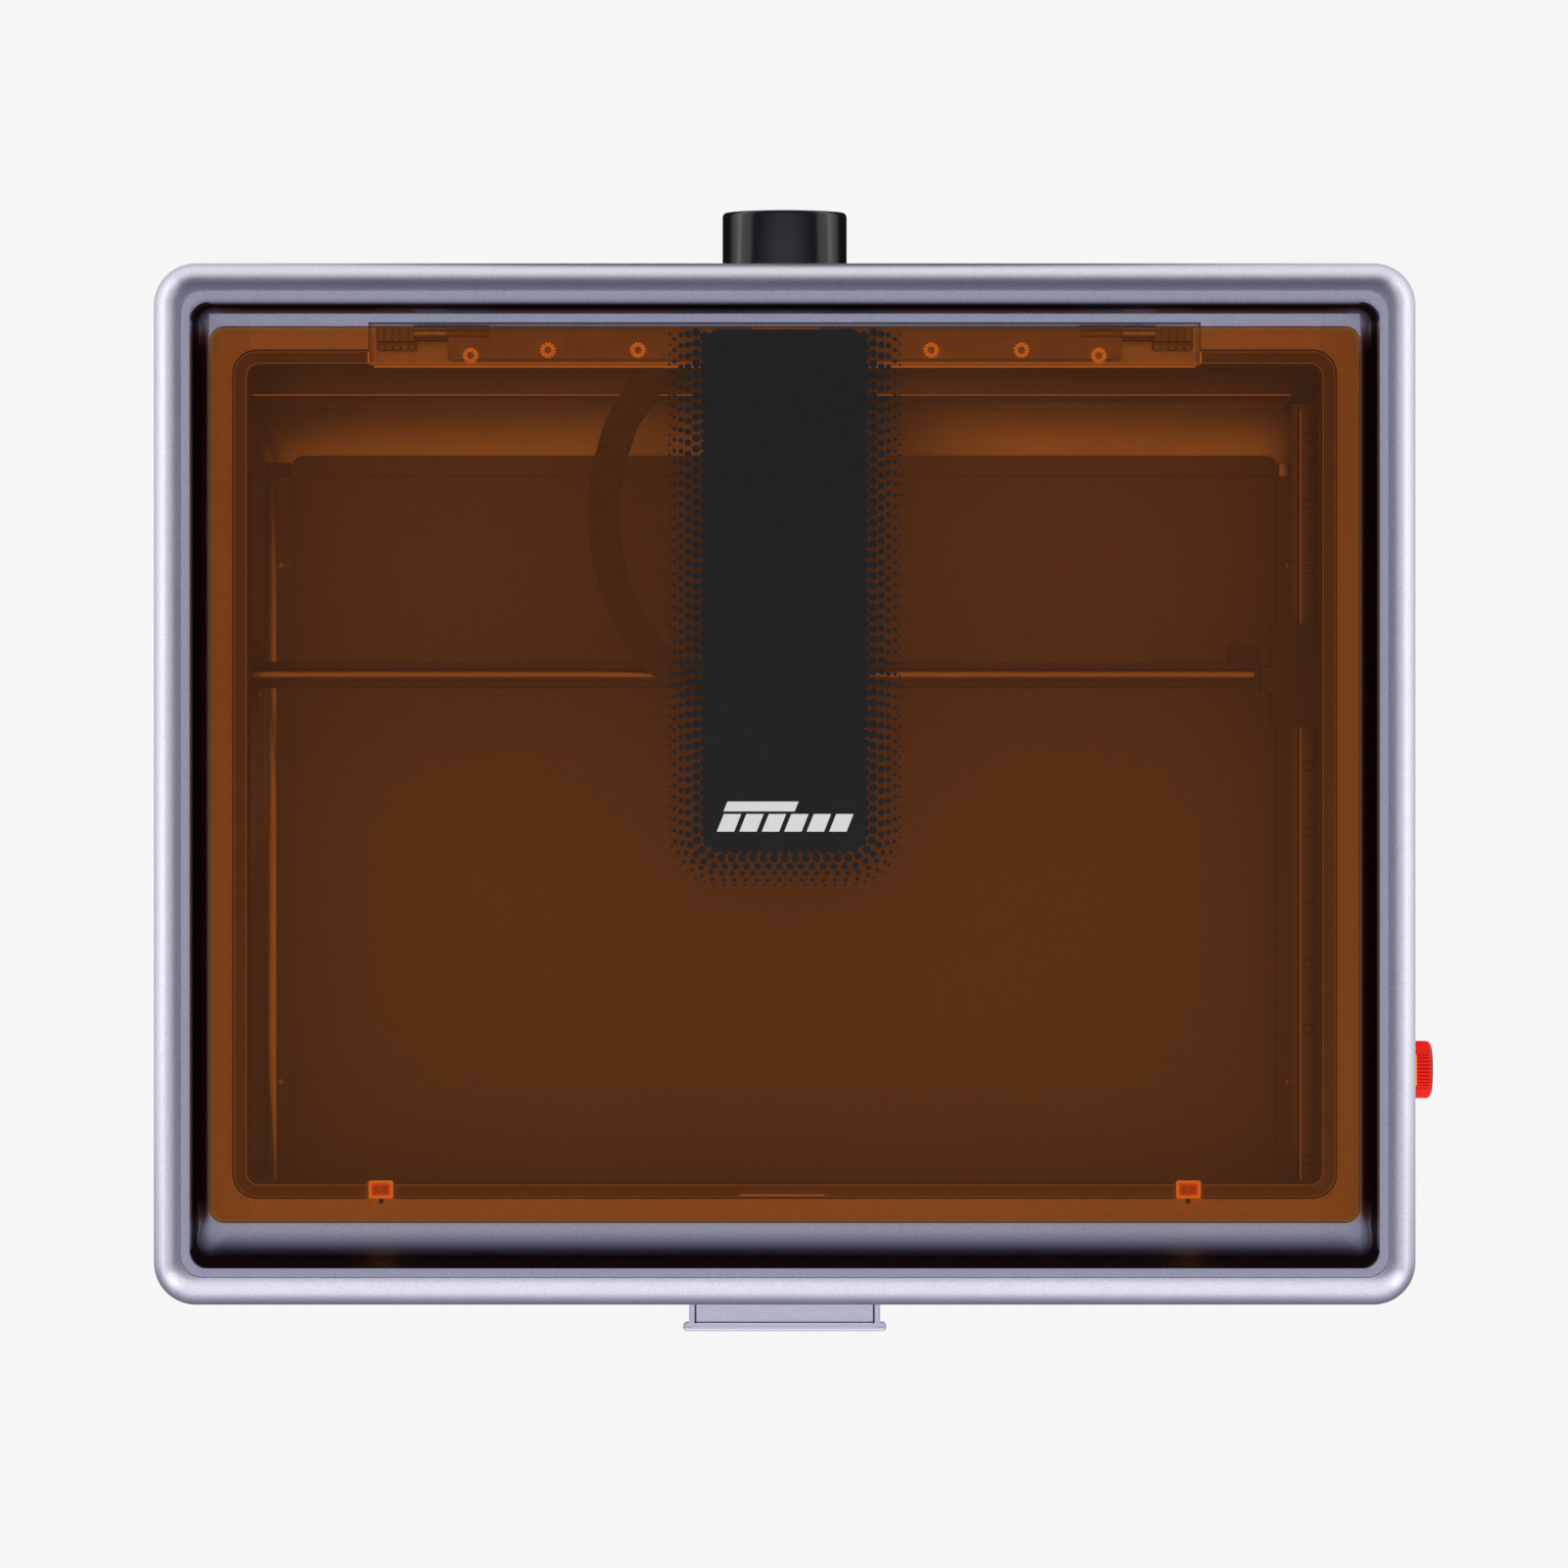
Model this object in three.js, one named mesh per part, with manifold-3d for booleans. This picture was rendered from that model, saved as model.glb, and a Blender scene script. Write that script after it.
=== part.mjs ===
// Enclosed desktop laser engraver with a see-through lid, a pull-out tray and a two-axis belt gantry.
// Millimetres, +Z up, +X to the right and +Y to the rear of somebody standing at the tray handle.
// The origin is at the bottom centre of the whole machine's box, under the feet.
import * as THREE from "three";
import { mergeVertices } from "three/addons/utils/BufferGeometryUtils.js";
import Module from "manifold-3d";

const wasm = await Module();
wasm.setup();

// ---------------------------------------------------------------- driving dimensions

const GAP = 0.3; // clearance kept between pieces that fit into each other

// Enclosure, measured from its own centre
const BODY_WIDTH = 567;
const BODY_DEPTH = 468;
const BODY_HEIGHT = 202;
const BODY_CORNER = 19;
const FOOT_HEIGHT = 8;
const FOOT_RADIUS = 11;
const SHELL_INSET = 2; // the lower shell's face stands this far behind the top frame's
const SHELL_WALL = 3.5;
const FRAME_BOTTOM = 166; // where the top frame sits on the lower shell
const FLOOR_TOP = 12; // top of the base plate inside the case
const INNER_X = BODY_WIDTH / 2 - SHELL_INSET - SHELL_WALL;
const INNER_Y = BODY_DEPTH / 2 - SHELL_INSET - SHELL_WALL;

// Top frame: a rounded rim, a flat band, and a recess with a filleted floor that holds the lid
const RIM_RADIUS = 19;
const RIM_SWEEP = 68; // degrees of the rim's arc; its end is the highest line of the frame
const BAND_OUTER = 12.3; // inset of the band's outer edge
const BAND_HEIGHT = 201.3;
const RECESS = { side: 266.2, front: -216.7, rear: 215.8, corner: 8 };
const RECESS_FLOOR = 174;
const FILLET = 18; // recess fillet at the front and sides
const REAR_FILLET = 7.5; // smaller behind the lid, so that its edge can swing
const OPENING = { side: 241.2, front: -179.3, rear: 188.2, corner: 5 };
const POCKET = { side: 187.5, front: 190.2, rear: 208, floor: 164 };

// Lid
const GLASS = { side: 258.7, front: -197.4, rear: 205.8, corner: 6.5, bottom: 179, top: 183 };
const MASK = { side: 36.4, front: -29, rear: 204.4, thick: 0.3 };
const HINGE = { y: 203, z: 175, radius: 3.75, pin: 1.8, block: [166.5, 184], leaf: 133 };
const BRACKET = { side: 151.6, front: 191, rear: 206, bottom: 177 };
const CATCH_X = 181.8;
const CATCH_Y = -182.5;

// Pull-out tray
const TRAY_TOP = 22;
const TRAY = { side: 239.3, crease: 230, rear: 144, lip: 153.3, front: -228 };
const SLOT = { side: 246, bottom: 12.5, top: 38 };
const HANDLE = { reach: 255.2, side: 44.6, lip: 47.4 };

// Gantry: belts and pulleys run at one height, below the beam
const BEAM_Y = 49.7;
const BEAM = { left: -246, right: 216.3, half: 6, bottom: 110, top: 132 };
const X_RAIL = { half: 2.6, top: 137 };
const SHELF = { bottom: 109.5, top: 112, front: -214.5, rear: 174 };
const Y_RAIL = { width: 9, height: 6, front: -214, rear: 172 };
const LEFT_RAIL_X = -261.5;
const RIGHT_RAIL_X = 239;
const PULLEY_RADIUS = 5.1; // to the belt's centre line: 16 teeth of 2 mm pitch
const FLANGE_RADIUS = 7;
const BELT = { bottom: 98, top: 104, thick: 1.4 };
const BELT_RUN = 4; // each cross run's distance from the beam's centre line
const LEFT_IDLER_X = -246.3;
const RIGHT_IDLER_X = 229;
const FRONT_PULLEY_Y = -205;
const MOTOR_Y = 198.8;
const PIN_RADIUS = 2.5;

// Laser module, measured from the beam's centre line, and the screw that locks its height
const MODULE = { half: 27, front: -68, rear: -14.4, bottom: 62, top: 138, fan: 19 };
const MODULE_Y = (MODULE.front + MODULE.rear) / 2;
const KNOB = { back: 9.5, z: 112, radius: 7 };

// Cable chain, in a horizontal plane above the gantry
const CHAIN = { pitch: 18.7, width: 15, bottom: 145.5, top: 159.5, links: 11, split: 6 };
const CHAIN_START = { x: -34, y: 199.3, heading: 204 };

// Exhaust, on the rear wall
const DUCT = { z: 80, radius: 28.6, bore: 26.4, end: 262.8 };
const FAN = { half: 33, bore: 30.5, front: 205, rear: 224.2 };

// Emergency stop, on the right wall
const ESTOP = { y: -130, z: 130, radius: 13.15, tip: 294.9, skirt: 284.2, stem: 5 };

// Start button on the front wall, power inlet and switch on the rear wall
const START = { x: 235, z: 120, radius: 8.8 };
const INLET = { x: -190, z: 40, radius: 6.2 };
const ROCKER = { x: -160, z: 40, half: 10, height: 6 };

// ---------------------------------------------------------------- materials

const finish = (color, roughness, metalness) =>
  new THREE.MeshStandardMaterial({ color, roughness, metalness });
const paint = finish(0xb9b7cb, 0.38, 0.7);
const acrylic = finish(0x8a4314, 0.12, 0);
acrylic.transparent = true;
acrylic.opacity = 0.6;
const blackPrint = finish(0x1f1f1f, 0.5, 0);
const blackPlastic = finish(0x1c1b1c, 0.35, 0);
const rubber = finish(0x191919, 0.85, 0);
const sheetSteel = finish(0x8d8d90, 0.45, 0.8);
const darkSheet = finish(0x3a3a3c, 0.55, 0.5);
const polished = finish(0xd6d6d8, 0.25, 1);
const aluminium = finish(0xa9aaae, 0.4, 0.9);
const redPlastic = finish(0xd8160b, 0.22, 0);
const yellowPlastic = finish(0xf0a010, 0.4, 0);
const boardGreen = finish(0x17502c, 0.5, 0);

// ---------------------------------------------------------------- solids

function solidOf(geometry) {
  const bare = geometry.clone();
  bare.deleteAttribute("normal");
  bare.deleteAttribute("uv");
  const merged = mergeVertices(bare, 1e-4);
  return new wasm.Manifold(
    new wasm.Mesh({
      numProp: 3,
      vertProperties: new Float32Array(merged.attributes.position.array),
      triVerts: new Uint32Array(merged.index.array),
    }),
  );
}

function geometryOf(solid) {
  const mesh = solid.getMesh();
  const geometry = new THREE.BufferGeometry();
  geometry.setAttribute("position", new THREE.BufferAttribute(mesh.vertProperties, mesh.numProp));
  geometry.setIndex(new THREE.BufferAttribute(mesh.triVerts, 1));
  const faceted = geometry.toNonIndexed();
  faceted.computeVertexNormals();
  return faceted;
}

function piece(name, solid, material) {
  const mesh = new THREE.Mesh(geometryOf(solid), material);
  mesh.name = name;
  return mesh;
}

function placed(object, x, y, z) {
  object.position.set(x, y, z);
  return object;
}

function group(...members) {
  const made = new THREE.Group();
  made.add(...members);
  return made;
}

const joined = (first, ...rest) => rest.reduce((whole, solid) => whole.add(solid), first);
const cut = (first, ...rest) => rest.reduce((whole, solid) => whole.subtract(solid), first);

// A box from its limits along each axis.
function block([x0, x1], [y0, y1], [z0, z1]) {
  const geometry = new THREE.BoxGeometry(x1 - x0, y1 - y0, z1 - z0);
  geometry.translate((x0 + x1) / 2, (y0 + y1) / 2, (z0 + z1) / 2);
  return solidOf(geometry);
}

// A shape drawn in the horizontal plane, extruded from z0 to z1.
function prism(shape, z0, z1, curveSegments = 3) {
  const geometry = new THREE.ExtrudeGeometry(shape, {
    depth: z1 - z0,
    bevelEnabled: false,
    curveSegments,
  });
  geometry.translate(0, 0, z0);
  return solidOf(geometry);
}

// A profile of [radius, height] points turned about the Z axis.
function turned(profile, segments = 18) {
  const points = profile.map(([radius, height]) => new THREE.Vector2(radius, height));
  const geometry = new THREE.LatheGeometry(points, segments);
  geometry.rotateX(Math.PI / 2);
  return solidOf(geometry);
}

function cylinder(radius, z0, z1, segments = 18) {
  return turned([[0, z0], [radius, z0], [radius, z1], [0, z1]], segments);
}

// Turn a solid that was made along +Z so that it lies along +X or +Y.
const alongX = (solid) => solid.rotate([0, 90, 0]);
const alongY = (solid) => solid.rotate([-90, 0, 0]);

// The outline of a rectangle with round corners.
function roundedRectangle({ x0, x1, y0, y1 }, radius) {
  const shape = new THREE.Shape();
  shape.absarc(x1 - radius, y1 - radius, radius, 0, Math.PI / 2);
  shape.absarc(x0 + radius, y1 - radius, radius, Math.PI / 2, Math.PI);
  shape.absarc(x0 + radius, y0 + radius, radius, Math.PI, 1.5 * Math.PI);
  shape.absarc(x1 - radius, y0 + radius, radius, 1.5 * Math.PI, 2 * Math.PI);
  return shape;
}

// A closed skin through rounded-rectangle sections, each { x0, x1, y0, y1, corner, z }, lowest first.
function loft(sections, cornerSteps = 4) {
  const corners = [
    ["x1", "y1", -1, -1],
    ["x0", "y1", 1, -1],
    ["x0", "y0", 1, 1],
    ["x1", "y0", -1, 1],
  ];
  const points = [];
  for (const section of sections) {
    corners.forEach(([x, y, inX, inY], quarter) => {
      for (let step = 0; step <= cornerSteps; step++) {
        const angle = (quarter + step / cornerSteps) * (Math.PI / 2);
        points.push(
          section[x] + section.corner * (inX + Math.cos(angle)),
          section[y] + section.corner * (inY + Math.sin(angle)),
          section.z,
        );
      }
    });
  }
  const around = 4 * (cornerSteps + 1);
  const faces = [];
  for (let ring = 0; ring + 1 < sections.length; ring++) {
    for (let i = 0; i < around; i++) {
      const a = ring * around + i;
      const b = ring * around + ((i + 1) % around);
      faces.push(a, b, b + around, a, b + around, a + around);
    }
  }
  const top = (sections.length - 1) * around;
  for (let i = 1; i + 1 < around; i++) {
    faces.push(0, i + 1, i);
    faces.push(top, top + i, top + i + 1);
  }
  const geometry = new THREE.BufferGeometry();
  geometry.setAttribute("position", new THREE.Float32BufferAttribute(points, 3));
  geometry.setIndex(faces);
  return solidOf(geometry);
}

const radians = THREE.MathUtils.degToRad;
const steps = (count, visit) => Array.from({ length: count }, (_, i) => visit(i));

// ---------------------------------------------------------------- enclosure

// A horizontal section of the enclosure at a given inset from its widest line.
// The corner radius falls more slowly than the inset, as on a pressed rim.
function bodySection(inset, z, cornerFall = 0.68) {
  return {
    x0: inset - BODY_WIDTH / 2,
    x1: BODY_WIDTH / 2 - inset,
    y0: inset - BODY_DEPTH / 2,
    y1: BODY_DEPTH / 2 - inset,
    corner: BODY_CORNER - cornerFall * inset,
    z,
  };
}

function topFrame() {
  const rimCentre = BODY_HEIGHT - RIM_RADIUS * Math.sin(radians(RIM_SWEEP));
  const rimSteps = 7;
  const rim = steps(rimSteps + 1, (i) => {
    const angle = radians((RIM_SWEEP * i) / rimSteps);
    return bodySection(RIM_RADIUS * (1 - Math.cos(angle)), rimCentre + RIM_RADIUS * Math.sin(angle));
  });
  const outside = loft([
    bodySection(SHELL_INSET, FRAME_BOTTOM),
    bodySection(0.6, FRAME_BOTTOM + 2),
    bodySection(0, FRAME_BOTTOM + 4.5),
    ...rim,
    bodySection(BAND_OUTER, BAND_HEIGHT),
  ]);

  // The recess: at each height the walls step in by what their fillet takes.
  const taken = (radius, z) => {
    const below = Math.max(0, RECESS_FLOOR + radius - z);
    return radius - Math.sqrt(radius * radius - below * below);
  };
  const recessAt = (z, widen = 0) => {
    const side = RECESS.side - taken(FILLET, z) + widen;
    return {
      x0: -side,
      x1: side,
      y0: RECESS.front + taken(FILLET, z) - widen,
      y1: RECESS.rear - taken(REAR_FILLET, z) + widen,
      corner: RECESS.corner + 0.3 * taken(FILLET, z),
      z,
    };
  };
  const heights = [0, 0.4, 1.4, 3.2, 6, 11, FILLET];
  const recess = loft([
    ...heights.map((height) => recessAt(RECESS_FLOOR + height)),
    recessAt(BAND_HEIGHT - 0.6),
    recessAt(BAND_HEIGHT, 0.6),
    recessAt(BODY_HEIGHT + 1, 0.6),
  ]);

  const opening = prism(
    roundedRectangle(
      { x0: -OPENING.side, x1: OPENING.side, y0: OPENING.front, y1: OPENING.rear },
      OPENING.corner,
    ),
    FRAME_BOTTOM - 1,
    RECESS_FLOOR + 1,
  );

  // Underneath, the rim is hollow: a channel between the skirt and the recess wall.
  const skirt = 3.5;
  const channel = cut(
    loft([
      bodySection(skirt, FRAME_BOTTOM - 1),
      bodySection(skirt, RECESS_FLOOR + 14),
      bodySection(skirt + 4, RECESS_FLOOR + 21),
    ]),
    block(
      [-RECESS.side - 3, RECESS.side + 3],
      [RECESS.front - 3, RECESS.rear + 3],
      [FRAME_BOTTOM + 4, BODY_HEIGHT],
    ),
  );

  // Room in the side fillets for the lid's rear corners, which dip as it opens.
  const dip = Math.hypot(GLASS.rear - HINGE.y, GLASS.top - HINGE.z) + 0.5;
  const swing = alongX(cylinder(dip, -GLASS.side - 0.7, GLASS.side + 0.7, 30))
    .translate([0, HINGE.y, HINGE.z])
    .intersect(block([-BODY_WIDTH, BODY_WIDTH], [0, BODY_DEPTH], [RECESS_FLOOR, BODY_HEIGHT]));

  const wall = 2.5;
  const pocketTub = block(
    [-POCKET.side - wall, POCKET.side + wall],
    [OPENING.rear, POCKET.rear + wall],
    [POCKET.floor - wall, RECESS_FLOOR],
  );
  const pocket = block(
    [-POCKET.side, POCKET.side],
    [POCKET.front, POCKET.rear],
    [POCKET.floor, RECESS_FLOOR + 1],
  );
  const frame = cut(outside, recess, opening, channel, swing);
  return piece("top_frame", cut(joined(frame, pocketTub), pocket), paint);
}

// Upright vent slots through a side wall, on the given side of the case.
function ventSlots(side) {
  const wallX = side * (INNER_X + SHELL_WALL / 2);
  return steps(6, (i) =>
    block([wallX - 4, wallX + 4], [-30 + 13 * i, -24 + 13 * i], [34, 72]),
  );
}

function lowerShell() {
  const outside = loft([
    bodySection(4.5, FOOT_HEIGHT),
    bodySection(3, FOOT_HEIGHT + 1.5),
    bodySection(SHELL_INSET, FOOT_HEIGHT + 5),
    bodySection(SHELL_INSET, FRAME_BOTTOM),
  ]);
  const inset = SHELL_INSET + SHELL_WALL;
  const inside = loft([bodySection(inset, FOOT_HEIGHT - 1), bodySection(inset, FRAME_BOTTOM + 1)]);
  const through = 8;
  const frontWall = [-BODY_DEPTH / 2 - 1, -INNER_Y + 1];
  const rearWall = [INNER_Y - 1, BODY_DEPTH / 2 + 1];
  const traySlot = block([-SLOT.side, SLOT.side], frontWall, [SLOT.bottom, SLOT.top]);
  const estopHole = alongX(cylinder(11.3, -through, through)).translate([INNER_X, ESTOP.y, ESTOP.z]);
  const startHole = alongY(cylinder(START.radius + 0.5, -through, through)).translate([
    START.x,
    -INNER_Y,
    START.z,
  ]);
  const ductHole = alongY(cylinder(DUCT.radius + 0.4, -through, through, 30)).translate([
    0,
    INNER_Y,
    DUCT.z,
  ]);
  const inletHole = alongY(cylinder(INLET.radius + GAP, -through, through)).translate([
    INLET.x,
    INNER_Y,
    INLET.z,
  ]);
  const rockerHole = block(
    [ROCKER.x - ROCKER.half - 0.5, ROCKER.x + ROCKER.half + 0.5],
    rearWall,
    [ROCKER.z - 7.5, ROCKER.z + 7.5],
  );
  const solid = cut(
    outside,
    inside,
    traySlot,
    estopHole,
    startHole,
    ductHole,
    inletHole,
    rockerHole,
    ...ventSlots(-1),
    ...ventSlots(1),
  );
  return piece("lower_shell", solid, paint);
}

// The base plate is a frame: the tray closes its middle and runs on its two guides.
function basePlate() {
  const plate = prism(
    roundedRectangle({ x0: -277.5, x1: 277.5, y0: -227.5, y1: 228 }, 16),
    FOOT_HEIGHT,
    FLOOR_TOP,
  );
  const middle = block([-214, 214], [-200, 128], [FOOT_HEIGHT - 1, FLOOR_TOP + 1]);
  const guide = (side) => {
    const between = (a, b) => [Math.min(side * a, side * b), Math.max(side * a, side * b)];
    const underTop = TRAY_TOP - 3 - GAP;
    return joined(
      block(between(231, 238), [-226, 150], [FLOOR_TOP - 1, underTop]),
      block(between(240, 242.5), [-226, 150], [FLOOR_TOP - 1, TRAY_TOP + 4]),
      block(between(237, 242.5), [-226, 150], [TRAY_TOP + 2, TRAY_TOP + 4]),
    );
  };
  return piece("base_plate", joined(cut(plate, middle), guide(-1), guide(1)), sheetSteel);
}

function feet() {
  const corners = [
    ["foot_front_left", -238, -188],
    ["foot_front_right", 238, -188],
    ["foot_rear_left", -238, 188],
    ["foot_rear_right", 238, 188],
  ];
  const profile = [
    [0, 0],
    [FOOT_RADIUS - 1.5, 0],
    [FOOT_RADIUS, 2],
    [FOOT_RADIUS, FOOT_HEIGHT],
    [0, FOOT_HEIGHT],
  ];
  return group(
    ...corners.map(([name, x, y]) => placed(piece(name, turned(profile), rubber), x, y, 0)),
  );
}

function gasket() {
  const lip = 7.3;
  const ring = (grow, corner) =>
    roundedRectangle(
      {
        x0: -OPENING.side - grow,
        x1: OPENING.side + grow,
        y0: OPENING.front - grow,
        y1: OPENING.rear + grow,
      },
      corner,
    );
  const top = GLASS.bottom - GAP;
  const whole = cut(
    prism(ring(lip, 11), RECESS_FLOOR + 0.1, top),
    prism(ring(0, OPENING.corner), RECESS_FLOOR - 1, top + 1),
    block([-POCKET.side - 2.5, POCKET.side + 2.5], [170, 210], [RECESS_FLOOR - 1, top + 1]),
  );
  const notch = (x) => block([x - 6.5, x + 6.5], [CATCH_Y - 6, CATCH_Y + 6], [175.2, top + 1]);
  return piece("lid_gasket", cut(whole, notch(-CATCH_X), notch(CATCH_X)), rubber);
}

// A torque hinge: a ribbed body bolted in the pocket, a barrel, and the pin that the lid turns on.
function torqueHinge(name, side) {
  const along = (a, b) => [Math.min(side * a, side * b), Math.max(side * a, side * b)];
  const [inner, outer] = HINGE.block;
  const ribs = steps(4, (i) =>
    block(along(inner + 1.5 + 4.2 * i, inner + 4 + 4.2 * i), [195.2, 199], [POCKET.floor, 169]),
  );
  const body = joined(
    block(along(inner, outer), [199, 206], [POCKET.floor, HINGE.z + 1.5]),
    block(along(inner, outer), [196, 199.5], [POCKET.floor, 168]),
    ...ribs,
  );
  const barrelEnd = BRACKET.side + 0.4;
  const onAxis = (radius, a, b) => {
    const [from, to] = along(a, b);
    return alongX(cylinder(radius, from, to, 14)).translate([0, HINGE.y, HINGE.z]);
  };
  const solid = joined(
    body,
    onAxis(HINGE.radius, barrelEnd, inner + 1),
    onAxis(HINGE.pin, HINGE.leaf + 6, inner + 1),
  );
  return piece(name, solid, darkSheet);
}

// ---------------------------------------------------------------- inside the case

function rearBayCover() {
  const left = -244.5;
  const right = 232.5;
  const front = 176;
  const top = 142;
  const sheet = 1.5;
  const grille = steps(9, (i) => block([-38 + 9 * i, -33 + 9 * i], [front - 1, front + 3], [52, 108]));
  const cover = joined(
    block([left, right], [front, front + sheet], [FLOOR_TOP + GAP, top]),
    block([left, right], [front, 226], [top - sheet, top]),
  );
  return piece("rear_bay_cover", cut(cover, ...grille), darkSheet);
}

function rightBayWall() {
  return piece(
    "right_bay_wall",
    block([252, 253.5], [-226, SHELF.rear], [FLOOR_TOP + GAP, SHELF.bottom - GAP]),
    darkSheet,
  );
}

// A shelf along one side that carries the linear rail and, below it, the front pulley's pin.
function railShelf(name, [x0, x1], pulleyX) {
  const shelf = block([x0, x1], [SHELF.front, SHELF.rear], [SHELF.bottom, SHELF.top]);
  const pin = hangingPin(SHELF.bottom).translate([pulleyX, FRONT_PULLEY_Y, 0]);
  return piece(name, joined(shelf, pin), aluminium);
}

// A pin with a head below the pulley that it carries.
function hangingPin(from) {
  const headTop = BELT.bottom - 2.2;
  return joined(
    cylinder(PIN_RADIUS, headTop - 1, from + 0.5, 12),
    cylinder(PIN_RADIUS + 1.7, headTop - 1.8, headTop, 12),
  );
}

function linearRail(name, x) {
  const half = Y_RAIL.width / 2;
  const rail = cut(
    block([-half, half], [Y_RAIL.front, Y_RAIL.rear], [0, Y_RAIL.height]),
    block([-half - 1, -half + 1], [Y_RAIL.front - 1, Y_RAIL.rear + 1], [2, 3.4]),
    block([half - 1, half + 1], [Y_RAIL.front - 1, Y_RAIL.rear + 1], [2, 3.4]),
  );
  return placed(piece(name, rail, polished), x, 0, SHELF.top);
}

// A stepper motor, its flange up, with a shaft through the belt plane.
function stepperMotor(name, x) {
  const outline = new THREE.Shape();
  const half = 21;
  const chamfer = 5;
  outline.moveTo(half, half - chamfer);
  [
    [half - chamfer, half],
    [chamfer - half, half],
    [-half, half - chamfer],
    [-half, chamfer - half],
    [chamfer - half, -half],
    [half - chamfer, -half],
    [half, chamfer - half],
  ].forEach(([px, py]) => outline.lineTo(px, py));
  const solid = joined(
    prism(outline, 50, 90),
    cylinder(11, 89, 92),
    cylinder(PIN_RADIUS, 91, BELT.top + 3, 12),
  );
  return placed(piece(name, solid, darkSheet), x, MOTOR_Y, 0);
}

// A flanged pulley, turning about Z, its bore clear of the pin.
function pulley(name, x, y, material) {
  const seat = PULLEY_RADIUS - BELT.thick / 2 - GAP;
  const bore = PIN_RADIUS + 0.2;
  const profile = [
    [bore, BELT.bottom - 1.3],
    [FLANGE_RADIUS, BELT.bottom - 1.3],
    [FLANGE_RADIUS, BELT.bottom - GAP],
    [seat, BELT.bottom - GAP],
    [seat, BELT.top + GAP],
    [FLANGE_RADIUS, BELT.top + GAP],
    [FLANGE_RADIUS, BELT.top + 1.3],
    [bore, BELT.top + 1.3],
    [bore, BELT.bottom - 1.3],
  ];
  return placed(piece(name, turned(profile, 12), material), x, y, 0);
}

// The pulleys at the ends of a side loop stand two pulley radii outside the gantry's idlers.
const leftLoopX = LEFT_IDLER_X - 2 * PULLEY_RADIUS;
const rightLoopX = RIGHT_IDLER_X + 2 * PULLEY_RADIUS;

// The side strands of both belts, seen as one loop from the front pulley to the motor's.
function sideBelt(name, x) {
  const outline = (radius, make) => {
    const path = new make();
    path.absarc(0, MOTOR_Y, radius, 0, Math.PI);
    path.absarc(0, FRONT_PULLEY_Y, radius, Math.PI, 2 * Math.PI);
    return path;
  };
  const shape = outline(PULLEY_RADIUS + BELT.thick / 2, THREE.Shape);
  shape.holes.push(outline(PULLEY_RADIUS - BELT.thick / 2, THREE.Path));
  return placed(piece(name, prism(shape, BELT.bottom, BELT.top, 5), rubber), x, 0, 0);
}

function controlBoard() {
  const board = block([266, 267.6], [-70, 50], [35, 105]);
  const parts = [
    block([258, 266.5], [-60, -35], [40, 60]),
    block([261, 266.5], [-20, 5], [60, 85]),
    block([256, 266.5], [15, 40], [42, 58]),
    block([259, 266.5], [-58, -38], [76, 98]),
  ];
  const standoffs = [-64, 44].flatMap((y) =>
    [40, 100].map((z) => alongX(cylinder(3, 267, INNER_X - GAP, 12)).translate([0, y, z])),
  );
  return piece("control_board", joined(board, ...parts, ...standoffs), boardGreen);
}

// ---------------------------------------------------------------- exhaust

function exhaustSpigot() {
  const flange = 228.2;
  const profile = [
    [DUCT.bore, FAN.rear + GAP],
    [33, FAN.rear + GAP],
    [33, flange],
    [DUCT.radius, flange],
    [DUCT.radius, DUCT.end],
    [DUCT.bore, DUCT.end],
    [DUCT.bore, FAN.rear + GAP],
  ];
  return placed(piece("exhaust_spigot", alongY(turned(profile, 30)), blackPlastic), 0, 0, DUCT.z);
}

function fanFrame() {
  const box = block([-FAN.half, FAN.half], [FAN.front, FAN.rear], [-FAN.half, FAN.half]);
  const bore = alongY(cylinder(FAN.bore, FAN.front - 1, FAN.rear + 1, 24));
  const hub = alongY(cylinder(12, FAN.rear - 3, FAN.rear, 16));
  const pin = alongY(cylinder(1.5, FAN.front + 4, FAN.rear - 2, 10));
  const spokes = steps(3, (i) =>
    block([10, FAN.bore + 1], [FAN.rear - 3, FAN.rear], [-2, 2]).rotate([0, 120 * i + 30, 0]),
  );
  const solid = joined(cut(box, bore), hub, pin, ...spokes);
  return placed(piece("exhaust_fan_frame", solid, blackPlastic), 0, 0, DUCT.z);
}

// A fan rotor about Z: a hub with a bore, and pitched blades.
function rotor({ hub, tip, height, bore, blades, pitch }) {
  const blade = (i) =>
    block([hub - 1, tip], [-0.8, 0.8], [-height / 2 + 1, height / 2 - 1])
      .rotate([pitch, 0, 0])
      .rotate([0, 0, (360 / blades) * i]);
  const rim = cylinder(tip, -height / 2, height / 2, 28);
  const core = cylinder(hub, -height / 2, height / 2, 14);
  const hole = cylinder(bore, -height, height, 10);
  return cut(joined(core, ...steps(blades, blade)).intersect(rim), hole);
}

function exhaustRotor() {
  const solid = rotor({ hub: 11, tip: 29.4, height: 12, bore: 1.7, blades: 7, pitch: 38 });
  const mesh = piece("exhaust_rotor", alongY(solid), blackPlastic);
  return placed(mesh, 0, FAN.front + 9, DUCT.z);
}

// ---------------------------------------------------------------- controls

function estopCollar() {
  const profile = [
    [ESTOP.stem + GAP, 270],
    [10.8, 270],
    [10.8, 274],
    [14, 274],
    [14, INNER_X - GAP],
    [10.8, INNER_X - GAP],
    [10.8, 285.8],
    [ESTOP.stem + GAP, 285.8],
    [ESTOP.stem + GAP, 270],
  ];
  return placed(piece("estop_collar", alongX(turned(profile)), yellowPlastic), 0, ESTOP.y, ESTOP.z);
}

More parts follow.
